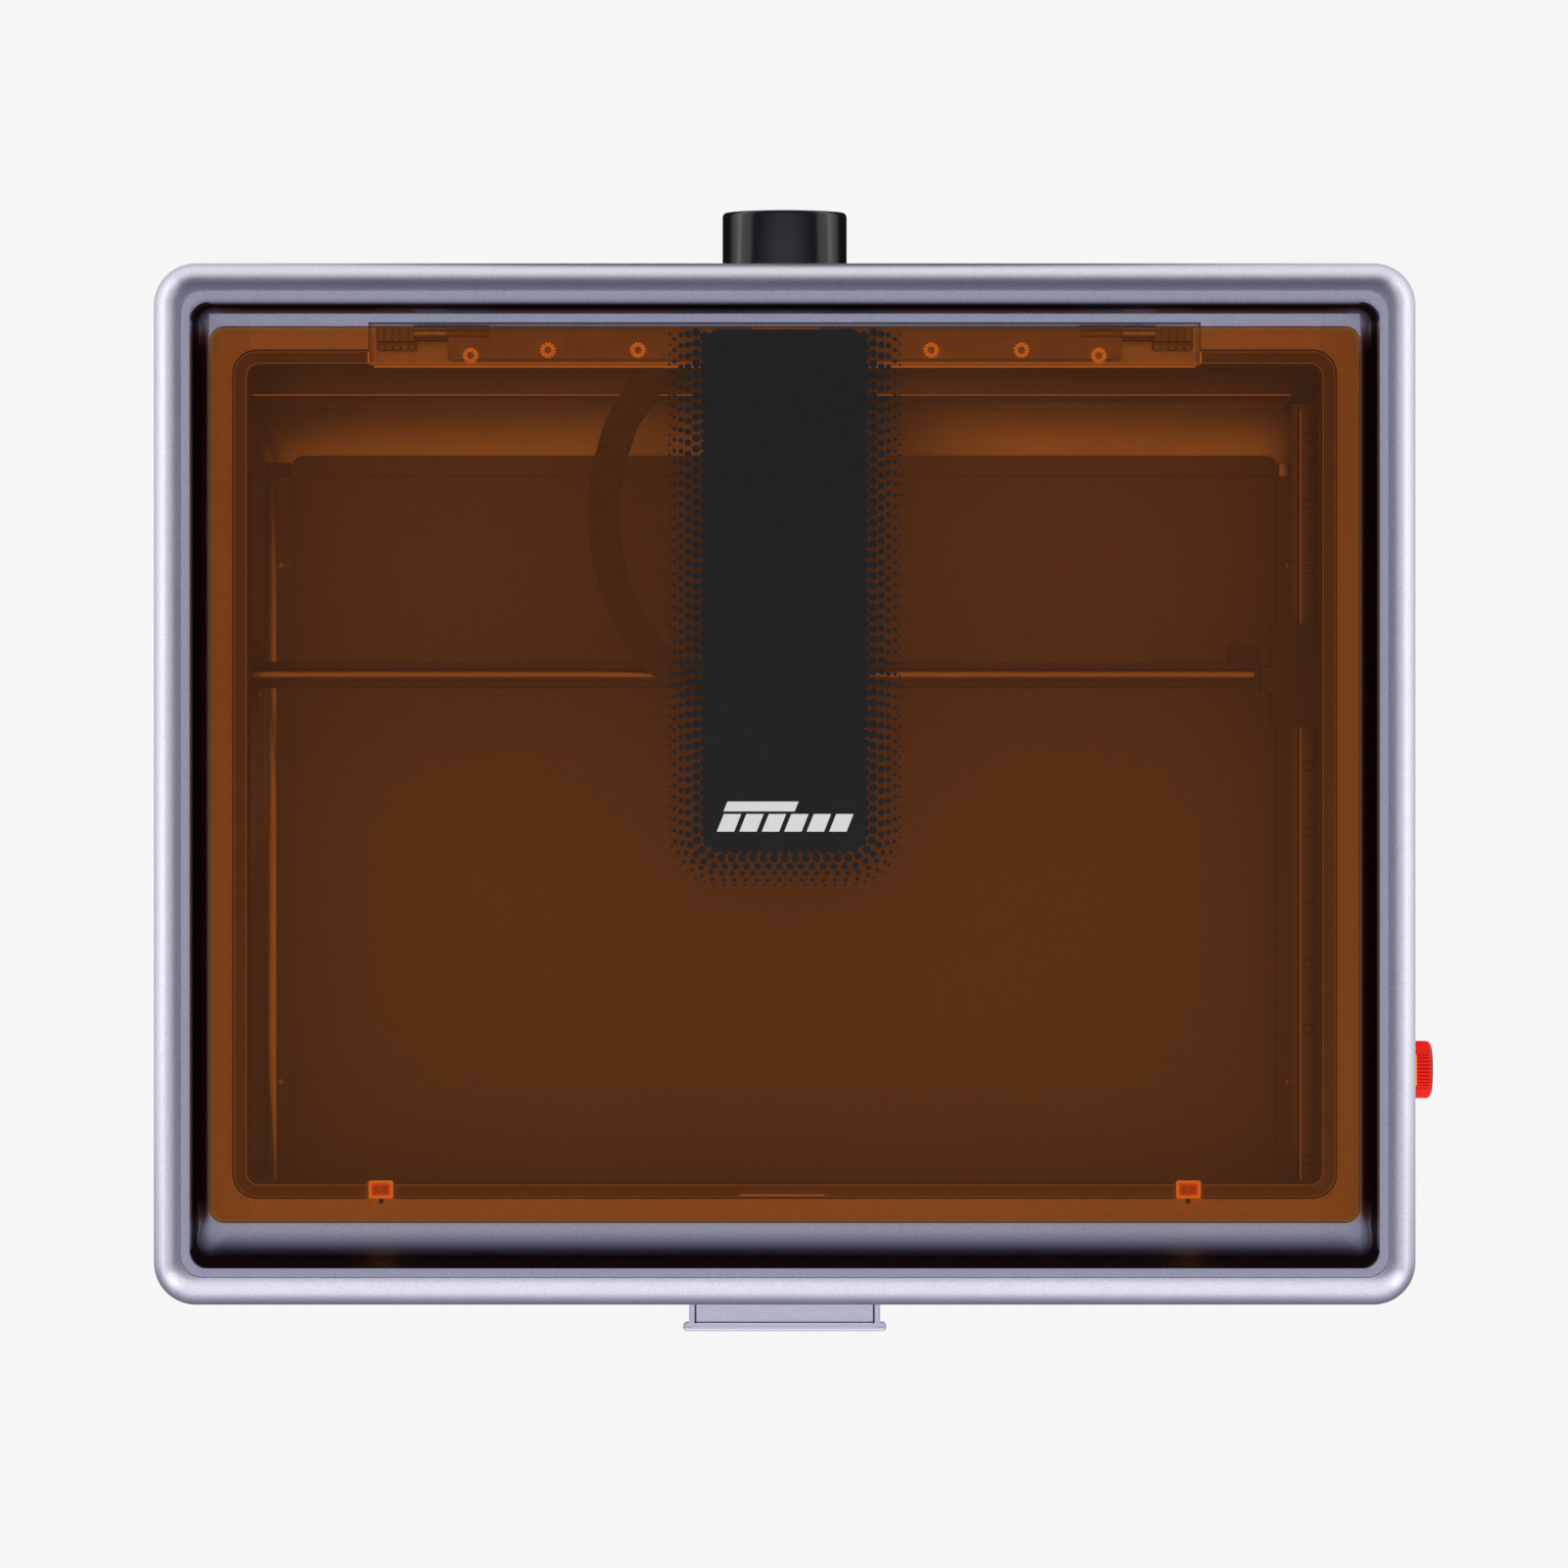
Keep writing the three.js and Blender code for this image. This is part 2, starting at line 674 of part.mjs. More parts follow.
function estopStem() {
  const profile = [
    [0, 264],
    [8, 264],
    [8, 267.5],
    [ESTOP.stem, 267.5],
    [ESTOP.stem, 289.8],
    [0, 289.8],
  ];
  return placed(piece("estop_stem", alongX(turned(profile, 16)), blackPlastic), 0, ESTOP.y, ESTOP.z);
}

function estopCap() {
  const { radius, skirt, tip } = ESTOP;
  const inner = 11.4;
  const profile = [
    [0, 290.2],
    [inner, 290.2],
    [inner, skirt],
    [radius, skirt],
    [radius, tip - 2.9],
    [radius - 0.8, tip - 1.7],
    [radius - 2.6, tip - 0.8],
    [radius / 2, tip - 0.2],
    [0, tip],
  ];
  const ribs = 12;
  const grooves = steps(ribs, (i) =>
    cylinder(0.8, skirt - 1, tip - 2.6, 6)
      .translate([radius + 0.1, 0, 0])
      .rotate([0, 0, (360 / ribs) * i]),
  );
  const solid = alongX(cut(turned(profile, 2 * ribs), ...grooves));
  return placed(piece("estop_cap", solid, redPlastic), 0, ESTOP.y, ESTOP.z);
}

function startButton() {
  const face = -233;
  const profile = [
    [0, face],
    [START.radius - 0.6, face],
    [START.radius, face + 0.6],
    [START.radius, GAP - INNER_Y],
    [11.5, GAP - INNER_Y],
    [11.5, 3 - INNER_Y],
    [0, 3 - INNER_Y],
  ];
  return placed(piece("start_button", alongY(turned(profile)), blackPlastic), START.x, 0, START.z);
}

function powerInlet() {
  const profile = [
    [0, 220],
    [9, 220],
    [9, INNER_Y - GAP],
    [INLET.radius, INNER_Y - GAP],
    [INLET.radius, 232.6],
    [3.2, 232.6],
    [3.2, 223],
    [0, 223],
  ];
  return placed(piece("power_inlet", alongY(turned(profile, 16)), blackPlastic), INLET.x, 0, INLET.z);
}

// The rocker's face is a shallow V, with its upper half standing out at rest.
function rockerSwitch() {
  const profile = new THREE.Shape();
  profile.moveTo(-4, -ROCKER.height);
  profile.lineTo(1, -ROCKER.height);
  profile.lineTo(2, 0);
  profile.lineTo(4, ROCKER.height);
  profile.lineTo(-4, ROCKER.height);
  const solid = prism(profile, -ROCKER.half, ROCKER.half).rotate([90, 0, 90]);
  const mesh = piece("power_rocker", solid, blackPlastic);
  return placed(mesh, ROCKER.x, INNER_Y + 1.2, ROCKER.z);
}

// ---------------------------------------------------------------- lid

function lidGlass() {
  const { side, front, rear, corner, bottom, top } = GLASS;
  const section = (inset, z) => ({
    x0: inset - side,
    x1: side - inset,
    y0: front + inset,
    y1: rear - inset,
    corner: corner - inset,
    z,
  });
  const bevel = 0.5;
  return piece(
    "lid_glass",
    loft([section(0, bottom), section(0, top - bevel), section(bevel, top)]),
    acrylic,
  );
}

function lidMask() {
  const outline = roundedRectangle(
    { x0: -MASK.side, x1: MASK.side, y0: MASK.front, y1: MASK.rear },
    5.5,
  );
  return piece("lid_mask", prism(outline, GLASS.top, GLASS.top + MASK.thick), blackPrint);
}

// The plate that ties the lid to both hinge pins.
function lidBracket() {
  const plate = block(
    [-BRACKET.side, BRACKET.side],
    [BRACKET.front, BRACKET.rear],
    [BRACKET.bottom, GLASS.bottom],
  );
  const knuckle = (side) => {
    const ends = [side * HINGE.leaf, side * BRACKET.side].sort((a, b) => a - b);
    return alongX(cylinder(HINGE.radius, ends[0], ends[1], 14)).translate([0, HINGE.y, HINGE.z]);
  };
  const bore = (side) => {
    const ends = [side * (HINGE.leaf + 5), side * (BRACKET.side + 1)].sort((a, b) => a - b);
    return alongX(cylinder(HINGE.pin + 0.1, ends[0], ends[1], 14)).translate([0, HINGE.y, HINGE.z]);
  };
  const solid = cut(joined(plate, knuckle(-1), knuckle(1)), bore(-1), bore(1));
  return piece("lid_bracket", solid, sheetSteel);
}

function lidCatch(name, x) {
  const solid = block([-5.5, 5.5], [-4, 4], [175.6, GLASS.bottom]);
  return placed(piece(name, solid, polished), x, CATCH_Y, 0);
}

function cameraHousing() {
  const body = prism(roundedRectangle({ x0: -19, x1: 19, y0: -13, y1: 13 }, 4), 170, GLASS.bottom);
  const eye = cylinder(5, 168.5, 171);
  const well = cylinder(3.2, 168, 170.5);
  return placed(piece("camera_housing", cut(joined(body, eye), well), blackPlastic), 0, -8, 0);
}

// ---------------------------------------------------------------- tray

function trayPlate() {
  const sheet = 2;
  const low = TRAY_TOP - 1;
  const main = block([-TRAY.crease, TRAY.crease], [TRAY.front, TRAY.rear], [TRAY_TOP - sheet, TRAY_TOP]);
  const rearLip = block([-TRAY.crease, TRAY.crease], [TRAY.rear - 1, TRAY.lip], [low - sheet, low]);
  const strip = (side) => {
    const ends = [side * (TRAY.crease - 1), side * TRAY.side].sort((a, b) => a - b);
    return block(ends, [TRAY.front, TRAY.rear], [low - sheet, low]);
  };
  const ribs = [-150, 0, 150].map((x) =>
    block([x - 1, x + 1], [TRAY.front + 2, 120], [FLOOR_TOP + 1, TRAY_TOP - 1]),
  );
  return piece("tray_plate", joined(main, rearLip, strip(-1), strip(1), ...ribs), darkSheet);
}

// The tray's front: a panel that closes the slot, with a channel-shaped pull and its lip.
function trayHandle() {
  const face = SHELL_INSET - BODY_DEPTH / 2;
  const panel = block([-SLOT.side + 0.6, SLOT.side - 0.6], [face, TRAY.front - 0.3], [13.2, 37.3]);
  const reach = -HANDLE.reach;
  const web = block([-HANDLE.side + 1, HANDLE.side - 1], [reach + 2, face + 1], [24.5, 26.5]);
  const cheek = (side) => {
    const ends = [side * (HANDLE.side - 2.4), side * HANDLE.side].sort((a, b) => a - b);
    return block(ends, [reach + 2, face + 1], [16, 28]);
  };
  const round = 1.9;
  const bar = prism(
    roundedRectangle(
      { x0: -HANDLE.lip, x1: HANDLE.lip, y0: reach, y1: reach + 2 * round },
      round - 0.01,
    ),
    14,
    29,
    5,
  );
  return piece("tray_handle", joined(panel, web, cheek(-1), cheek(1), bar), paint);
}

// ---------------------------------------------------------------- gantry

// Everything on the gantry is drawn with y measured from the beam's centre line.
function beamAndRail() {
  const { left, right, half, bottom, top } = BEAM;
  const beam = cut(
    block([left, right], [-half, half], [bottom, top]),
    block([left - 1, right + 1], [-half - 1, -half + 1.5], [118, 123]),
    block([left - 1, right + 1], [half - 1.5, half + 1], [118, 123]),
  );
  const rail = block([left + 4, right - 3], [-X_RAIL.half, X_RAIL.half], [top, X_RAIL.top]);
  return [piece("x_beam", beam, darkSheet), piece("x_rail", rail, polished)];
}

// A carriage rides on its side rail, holds one end of the beam and hangs two idler pins.
function carriage(name, { railX, outer, inner, idlerX, plateX, arm, tab }) {
  const sorted = (a, b) => [Math.min(a, b), Math.max(a, b)];
  const railTop = SHELF.top + Y_RAIL.height + GAP;
  const top = BEAM.top + 2;
  const half = Y_RAIL.width / 2 + GAP;
  const skirt = (side) =>
    block(sorted(railX + side * half, railX + side * (half + 2.7)), [-18, 18], [113, railTop + 1]);
  const idlerPlate = { bottom: BELT.top + 2, top: SHELF.bottom - 0.5 };
  const across = PULLEY_RADIUS + BELT_RUN;
  const web = (side) =>
    block(
      sorted(inner, plateX),
      sorted(side * (BEAM.half + 0.7), side * 16.1),
      [idlerPlate.bottom, railTop + 3],
    );
  const solid = joined(
    block(sorted(outer, inner), [-23.7, 23.3], [railTop, top]),
    skirt(-1),
    skirt(1),
    block(sorted(inner, plateX), [-16.1, 16.1], [idlerPlate.bottom, idlerPlate.top]),
    web(-1),
    web(1),
    hangingPin(idlerPlate.bottom).translate([idlerX, -across, 0]),
    hangingPin(idlerPlate.bottom).translate([idlerX, across, 0]),
    ...arm,
    ...tab,
  );
  return piece(name, solid, blackPlastic);
}

function leftCarriage() {
  return carriage("carriage_left", {
    railX: LEFT_RAIL_X,
    outer: -270,
    inner: BEAM.left - GAP,
    idlerX: LEFT_IDLER_X,
    plateX: -240.5,
    arm: [],
    tab: [block([-248, -236.4], [8, 14], [118, 124])],
  });
}

function rightCarriage() {
  return carriage("carriage_right", {
    railX: RIGHT_RAIL_X,
    outer: 244,
    inner: 222,
    idlerX: RIGHT_IDLER_X,
    plateX: 231.2,
    arm: [block([BEAM.right + GAP, 223], [-8, 3.5], [BEAM.bottom, BEAM.top + 2])],
    tab: [],
  });
}

function limitSwitch() {
  const solid = joined(
    block([202.4, 217.2], [BEAM.half + GAP, 14], [110, 116.5]),
    block([204, 206], [13, 15], [111, 115]),
  );
  return piece("x_limit_switch", solid, blackPlastic);
}

// One cross run of belt, with the start of its wrap round the idler at each end.
function crossBelt(name, side) {
  const inner = PULLEY_RADIUS - BELT.thick / 2;
  const outer = PULLEY_RADIUS + BELT.thick / 2;
  const wrap = radians(42);
  const shape = new THREE.Shape();
  const up = Math.PI / 2;
  shape.absarc(LEFT_IDLER_X, 0, outer, up + wrap, up, true);
  shape.absarc(RIGHT_IDLER_X, 0, outer, up, up - wrap, true);
  shape.absarc(RIGHT_IDLER_X, 0, inner, up - wrap, up, false);
  shape.absarc(LEFT_IDLER_X, 0, inner, up, up + wrap, false);
  const flat = prism(shape, BELT.bottom, BELT.top, 4);
  const solid = side < 0 ? flat : flat.mirror([0, 1, 0]);
  return placed(piece(name, solid, rubber), 0, side * (BELT_RUN + PULLEY_RADIUS), 0);
}

function idlers() {
  const across = PULLEY_RADIUS + BELT_RUN;
  return [
    pulley("idler_left_front", LEFT_IDLER_X, -across, polished),
    pulley("idler_left_rear", LEFT_IDLER_X, across, polished),
    pulley("idler_right_front", RIGHT_IDLER_X, -across, polished),
    pulley("idler_right_rear", RIGHT_IDLER_X, across, polished),
  ];
}

// ---------------------------------------------------------------- laser head

// The carrier wraps the X rail from above, clamps both belts below the beam and has a dovetail in front.
function headCarriage() {
  const plate = block([-30, 30], [-14, -7], [95, 144]);
  const bridge = block([-24, 24], [-10, 11], [X_RAIL.top + 0.5, 144]);
  const shoe = (side) => {
    const ends = [side * (X_RAIL.half + GAP), side * 5.9].sort((a, b) => a - b);
    return block([-24, 24], ends, [BEAM.top + 0.8, 139]);
  };
  const rearLip = block([-24, 24], [7.5, 11], [118, 144]);
  const clamp = block([-12, 12], [-8, 8], [BELT.bottom - 2.4, BEAM.bottom - 2]);
  const beltSlot = (y) =>
    block(
      [-13, 13],
      [y - BELT.thick / 2 - 0.4, y + BELT.thick / 2 + 0.4],
      [BELT.bottom - 0.4, BELT.top + 0.4],
    );
  const dovetail = block([-9, 9], [-17, -13], [97, 143]);
  const chainSeat = block([-30, -14], [-14, 4], [143, CHAIN.bottom - GAP]);
  const solid = joined(plate, bridge, shoe(-1), shoe(1), rearLip, clamp, dovetail, chainSeat);
  return piece("head_carriage", cut(solid, beltSlot(-BELT_RUN), beltSlot(BELT_RUN)), blackPlastic);
}

// The laser module: a finned body with a fan well in its top and a groove that slides on the dovetail.
function laserModule() {
  const { half, front, rear, bottom, top, fan } = MODULE;
  const body = block([-half, half], [front, rear], [bottom, top]);
  const groove = block([-9.4, 9.4], [-17.4, rear + 1], [bottom - 1, top + 1]);
  const well = cylinder(fan, top - 13, top + 1, 24).translate([0, MODULE_Y, 0]);
  const fanPin = cylinder(1.5, top - 14, top - 4, 10).translate([0, MODULE_Y, 0]);
  const frontFins = steps(6, (i) =>
    block([-22.4 + 8 * i, -18.2 + 8 * i], [front - 1, front + 5], [bottom + 12, top - 18]),
  );
  const sideFins = steps(4, (i) => {
    const y = [front + 10 + 9 * i, front + 14 + 9 * i];
    const z = [bottom + 12, top - 18];
    return joined(block([-half - 1, -half + 4], y, z), block([half - 4, half + 1], y, z));
  });
  const solid = joined(cut(body, groove, well, ...frontFins, ...sideFins), fanPin);
  return piece("laser_module", solid, aluminium);
}

function laserNozzle() {
  const profile = [
    [2, 46],
    [5, 46],
    [7.5, 52],
    [12, 56],
    [12, MODULE.bottom],
    [5, MODULE.bottom],
    [2, 46],
  ];
  return placed(piece("laser_nozzle", turned(profile), polished), 0, MODULE_Y, 0);
}

function headRotor() {
  const solid = rotor({ hub: 7, tip: 18, height: 8, bore: 1.7, blades: 7, pitch: 36 });
  return placed(piece("head_fan_rotor", solid, blackPlastic), 0, MODULE_Y, MODULE.top - 7.5);
}

// The thumb screw that locks the module's height.
function focusKnob() {
  const start = MODULE.half + GAP;
  const disc = cylinder(KNOB.radius, start + 2, start + 10, 16);
  const neck = cylinder(3.5, start, start + 3, 12);
  const grooves = steps(8, (i) =>
    cylinder(0.9, start + 1, start + 11, 6).translate([KNOB.radius + 0.2, 0, 0]).rotate([0, 0, 45 * i]),
  );
  const solid = alongX(cut(joined(neck, disc), ...grooves));
  return placed(piece("focus_knob", solid, redPlastic), 0, MODULE.rear - KNOB.back, KNOB.z);
}

// ---------------------------------------------------------------- cable chain

// The chain's pivots: each link turns a little more towards the two ends of its curve.
function chainPivots() {
  const pivots = [[CHAIN_START.x, CHAIN_START.y]];
  const middle = CHAIN.links / 2;
  let heading = CHAIN_START.heading;
  for (let link = 0; link < CHAIN.links; link++) {
    const [x, y] = pivots[link];
    const angle = radians(heading);
    pivots.push([x + CHAIN.pitch * Math.cos(angle), y + CHAIN.pitch * Math.sin(angle)]);
    const share = (link + 1 - middle) / (middle - 1);
    heading += 9.7 + 10 * share * share;
  }
  return pivots;
}

// One stretch of the chain, from one pivot to another, as a plain band that stops short of both.
function chainBand(name, from, to) {
  const pivots = chainPivots();
  const half = CHAIN.width / 2;
  const edge = (side) => {
    const points = [];
    for (let i = from; i <= to; i++) {
      const [ax, ay] = pivots[Math.max(i - 1, 0)];
      const [bx, by] = pivots[Math.min(i + 1, CHAIN.links)];
      const along = new THREE.Vector2(bx - ax, by - ay).normalize();
      const across = new THREE.Vector2(-along.y, along.x);
      const trim = i === from ? GAP / 2 : i === to ? -GAP / 2 : 0;
      const point = new THREE.Vector2(...pivots[i]);
      points.push(point.addScaledVector(along, trim).addScaledVector(across, side * half));
    }
    return points;
  };
  const outline = new THREE.Shape([...edge(-1), ...edge(1).reverse()]);
  return piece(name, prism(outline, CHAIN.bottom, CHAIN.top), blackPlastic);
}

// ---------------------------------------------------------------- assembly

const enclosure = group(lowerShell(), topFrame(), basePlate(), feet(), gasket());
const hinges = group(torqueHinge("hinge_left", -1), torqueHinge("hinge_right", 1));
const interior = group(
  rearBayCover(),
  rightBayWall(),
  railShelf("rail_shelf_left", [-277.5, -251.5], leftLoopX),
  railShelf("rail_shelf_right", [231.5, 251.7], rightLoopX),
  linearRail("y_rail_left", LEFT_RAIL_X),
  linearRail("y_rail_right", RIGHT_RAIL_X),
  stepperMotor("motor_left", leftLoopX),
  stepperMotor("motor_right", rightLoopX),
  controlBoard(),
);
const drive = group(
  pulley("motor_pulley_left", leftLoopX, MOTOR_Y, aluminium),
  pulley("motor_pulley_right", rightLoopX, MOTOR_Y, aluminium),
  pulley("front_pulley_left", leftLoopX, FRONT_PULLEY_Y, polished),
  pulley("front_pulley_right", rightLoopX, FRONT_PULLEY_Y, polished),
  sideBelt("belt_left", leftLoopX),
  sideBelt("belt_right", rightLoopX),
);
const exhaust = group(exhaustSpigot(), fanFrame(), exhaustRotor());
const controls = group(
  estopCollar(),
  estopStem(),
  estopCap(),
  startButton(),
  powerInlet(),
  rockerSwitch(),
);
const lid = group(
  lidGlass(),
  lidMask(),
  lidBracket(),
  lidCatch("catch_left", -CATCH_X),
  lidCatch("catch_right", CATCH_X),
  cameraHousing(),
);
const tray = group(trayPlate(), trayHandle());
const head = group(headCarriage(), laserModule(), laserNozzle(), headRotor(), focusKnob());
const gantry = group(
  ...beamAndRail(),
  leftCarriage(),
  rightCarriage(),
  limitSwitch(),
  crossBelt("cross_belt_front", -1),
  crossBelt("cross_belt_rear", 1),
  ...idlers(),
  head,
);
placed(gantry, 0, BEAM_Y, 0);
const chain = group(
  chainBand("chain_rear", 0, CHAIN.split),
  chainBand("chain_front", CHAIN.split, CHAIN.links),
);

const machine = group(
  enclosure,
  hinges,
  interior,
  drive,
  exhaust,
  controls,
  lid,
  tray,
  gantry,
  chain,
);
// The stop button, the handle and the spigot stand out, so the box's centre is not the body's.
placed(
  machine,
  -(ESTOP.tip - BODY_WIDTH / 2) / 2,
  -(DUCT.end - HANDLE.reach) / 2,
  0,
);

export default group(machine);
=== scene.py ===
"""Laser engraver with a see-through lid: what it looks like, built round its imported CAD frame."""

import math

import bmesh
import bpy
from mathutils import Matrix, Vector


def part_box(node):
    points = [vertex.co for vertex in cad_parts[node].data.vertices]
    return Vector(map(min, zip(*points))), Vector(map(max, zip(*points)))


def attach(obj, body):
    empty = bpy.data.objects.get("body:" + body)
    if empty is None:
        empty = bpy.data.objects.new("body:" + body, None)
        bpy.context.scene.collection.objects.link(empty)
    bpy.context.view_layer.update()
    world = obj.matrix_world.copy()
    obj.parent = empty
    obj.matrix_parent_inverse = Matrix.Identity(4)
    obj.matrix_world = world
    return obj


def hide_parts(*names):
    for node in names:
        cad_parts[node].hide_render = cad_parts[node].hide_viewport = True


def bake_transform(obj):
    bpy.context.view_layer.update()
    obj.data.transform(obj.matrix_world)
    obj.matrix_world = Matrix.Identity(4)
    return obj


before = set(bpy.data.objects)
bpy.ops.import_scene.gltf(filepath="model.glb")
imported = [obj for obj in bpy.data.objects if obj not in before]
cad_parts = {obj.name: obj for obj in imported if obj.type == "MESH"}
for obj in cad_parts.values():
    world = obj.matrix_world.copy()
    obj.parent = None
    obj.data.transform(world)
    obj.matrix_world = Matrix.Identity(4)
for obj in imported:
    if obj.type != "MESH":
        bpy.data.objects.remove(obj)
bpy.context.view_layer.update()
MM = 0.001
scene = bpy.context.scene
scene.view_settings.view_transform = "Standard"
scene.view_settings.look = "None"

# ------------------------------------------------------------------ places
# Lengths are in millimetres from the middle of the enclosure, with z from the floor.
FRAME_LOW, FRAME_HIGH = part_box("top_frame")
CENTRE = ((FRAME_LOW + FRAME_HIGH) / 2).to_2d()


def at(x, y, z):
    return Vector((x * MM + CENTRE.x, y * MM + CENTRE.y, z * MM))


class Box:
    """The limits of a CAD node in millimetres from the middle of the enclosure."""

    def __init__(self, node):
        low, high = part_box(node)
        self.x0, self.x1 = ((v - CENTRE.x) / MM for v in (low.x, high.x))
        self.y0, self.y1 = ((v - CENTRE.y) / MM for v in (low.y, high.y))
        self.z0, self.z1 = low.z / MM, high.z / MM
        self.x, self.y, self.z = (
            (self.x0 + self.x1) / 2,
            (self.y0 + self.y1) / 2,
            (self.z0 + self.z1) / 2,
        )


CASE = Box("top_frame")
SHELL = Box("lower_shell")
GLASS = Box("lid_glass")
MASK = Box("lid_mask")
GASKET = Box("lid_gasket")
CAP = Box("estop_cap")
COLLAR = Box("estop_collar")
STEM = Box("estop_stem")
DUCT = Box("exhaust_spigot")
HANDLE = Box("tray_handle")
TRAY = Box("tray_plate")
HALF_X = (CASE.x1 - CASE.x0) / 2
HALF_Y = (CASE.y1 - CASE.y0) / 2
TOP = CASE.z1
EDGE = 19.0  # radius of the enclosure's edges
RIM_SWEEP = 71.5  # degrees of the rim's arc
RECESS = {"side": 266.2, "front": -216.7, "rear": 215.8, "corner": 8.0}
RECESS_FLOOR = 174.0
OPENING = {"side": 241.2, "front": -179.3, "rear": 188.2, "corner": 5.0}
HINGE_Y, HINGE_Z = 203.0, 175.0  # the lid's hinge axis
INNER_FACE = 228.3  # just inside the front and rear walls

# ------------------------------------------------------------------ materials


class Nodes:
    """Short ways to add nodes to one material."""

    def __init__(self, name):
        self.material = bpy.data.materials.new(name)
        self.material.use_nodes = True
        self.tree = self.material.node_tree
        self.tree.nodes.clear()
        self.out = self.add("ShaderNodeOutputMaterial")
        self.place = self.add("ShaderNodeTexCoord").outputs["Object"]

    def add(self, kind, inputs=None, **settings):
        node = self.tree.nodes.new(kind)
        for key, value in settings.items():
            setattr(node, key, value)
        for key, value in (inputs or {}).items():
            self.plug(node, key, value)
        return node

    def plug(self, node, key, value):
        socket = node.inputs[key]
        if isinstance(value, bpy.types.NodeSocket):
            self.tree.links.new(value, socket)
        elif isinstance(value, bpy.types.Node):
            self.tree.links.new(value.outputs[0], socket)
        else:
            socket.default_value = value

    def noise(self, scale, detail=2.0, stretch=None, roughness=0.5):
        vector = self.place
        if stretch:
            vector = self.add(
                "ShaderNodeMapping", {"Vector": vector, "Scale": stretch}
            ).outputs[0]
        made = self.add(
            "ShaderNodeTexNoise",
            {"Vector": vector, "Scale": scale, "Detail": detail, "Roughness": roughness},
        )
        return made.outputs["Fac"]

    def spread(self, value, low, high):
        """A 0-to-1 value mapped to low..high."""
        return self.add(
            "ShaderNodeMapRange",
            {"Value": value, "From Min": 0.25, "From Max": 0.75, "To Min": low, "To Max": high},
        ).outputs[0]

    def tint(self, value, dark, light):
        """Blend of two colours by a 0-to-1 value."""
        ramp = self.add("ShaderNodeMapRange", {"Value": value, "From Min": 0.25, "From Max": 0.75})
        mix = self.add("ShaderNodeMix", data_type="RGBA")
        self.plug(mix, "Factor", ramp.outputs[0])
        mix.inputs[6].default_value = (*dark, 1)
        mix.inputs[7].default_value = (*light, 1)
        return mix.outputs[2]

    def bump(self, height, strength, distance):
        return self.add(
            "ShaderNodeBump", {"Height": height, "Strength": strength, "Distance": distance}
        ).outputs[0]

    def calc(self, operation, *values):
        made = self.add("ShaderNodeMath", dict(enumerate(values)), operation=operation)
        return made.outputs[0]

    def ramp(self, value, first, last, low, high):
        """A value eased from low to high between two limits."""
        return self.add(
            "ShaderNodeMapRange",
            {"Value": value, "From Min": first, "From Max": last, "To Min": low, "To Max": high},
            interpolation_type="SMOOTHSTEP",
        ).outputs[0]

    def shown(self, shader):
        self.tree.links.new(shader.outputs[0], self.out.inputs["Surface"])
        return self.material


def linear(red, green, blue):
    """Scene-linear colour from 0-255 display values."""

    def one(value):
        share = value / 255
        return share / 12.92 if share <= 0.04045 else ((share + 0.055) / 1.055) ** 2.4

    return tuple(one(v) for v in (red, green, blue))


def solid_finish(
    name,
    dark,
    light,
    roughness=(0.35, 0.45),
    metallic=0.0,
    grain=900,
    relief=0.0,
    relief_scale=1500,
    stretch=None,
    coat=0.0,
    coat_roughness=0.1,
    specular=0.5,
    glow=0.0,
):
    """A Principled finish whose colour, roughness and relief vary with fine noise."""
    nodes = Nodes(name)
    field = nodes.noise(grain, 3, stretch)
    shader = nodes.add(
        "ShaderNodeBsdfPrincipled",
        {
            "Base Color": nodes.tint(field, dark, light),
            "Roughness": nodes.spread(nodes.noise(grain * 0.35, 2, stretch), *roughness),
            "Metallic": metallic,
            "Coat Weight": coat,
            "Coat Roughness": coat_roughness,
            "Specular IOR Level": specular,
            # with glow above zero the finish shines in its light colour: painted light
            "Emission Color": (*light, 1),
            "Emission Strength": glow,
        },
    )
    if relief:
        height = nodes.noise(relief_scale, 2, stretch)
        nodes.plug(shader, "Normal", nodes.bump(height, relief, 0.0002))
    return nodes.shown(shader)


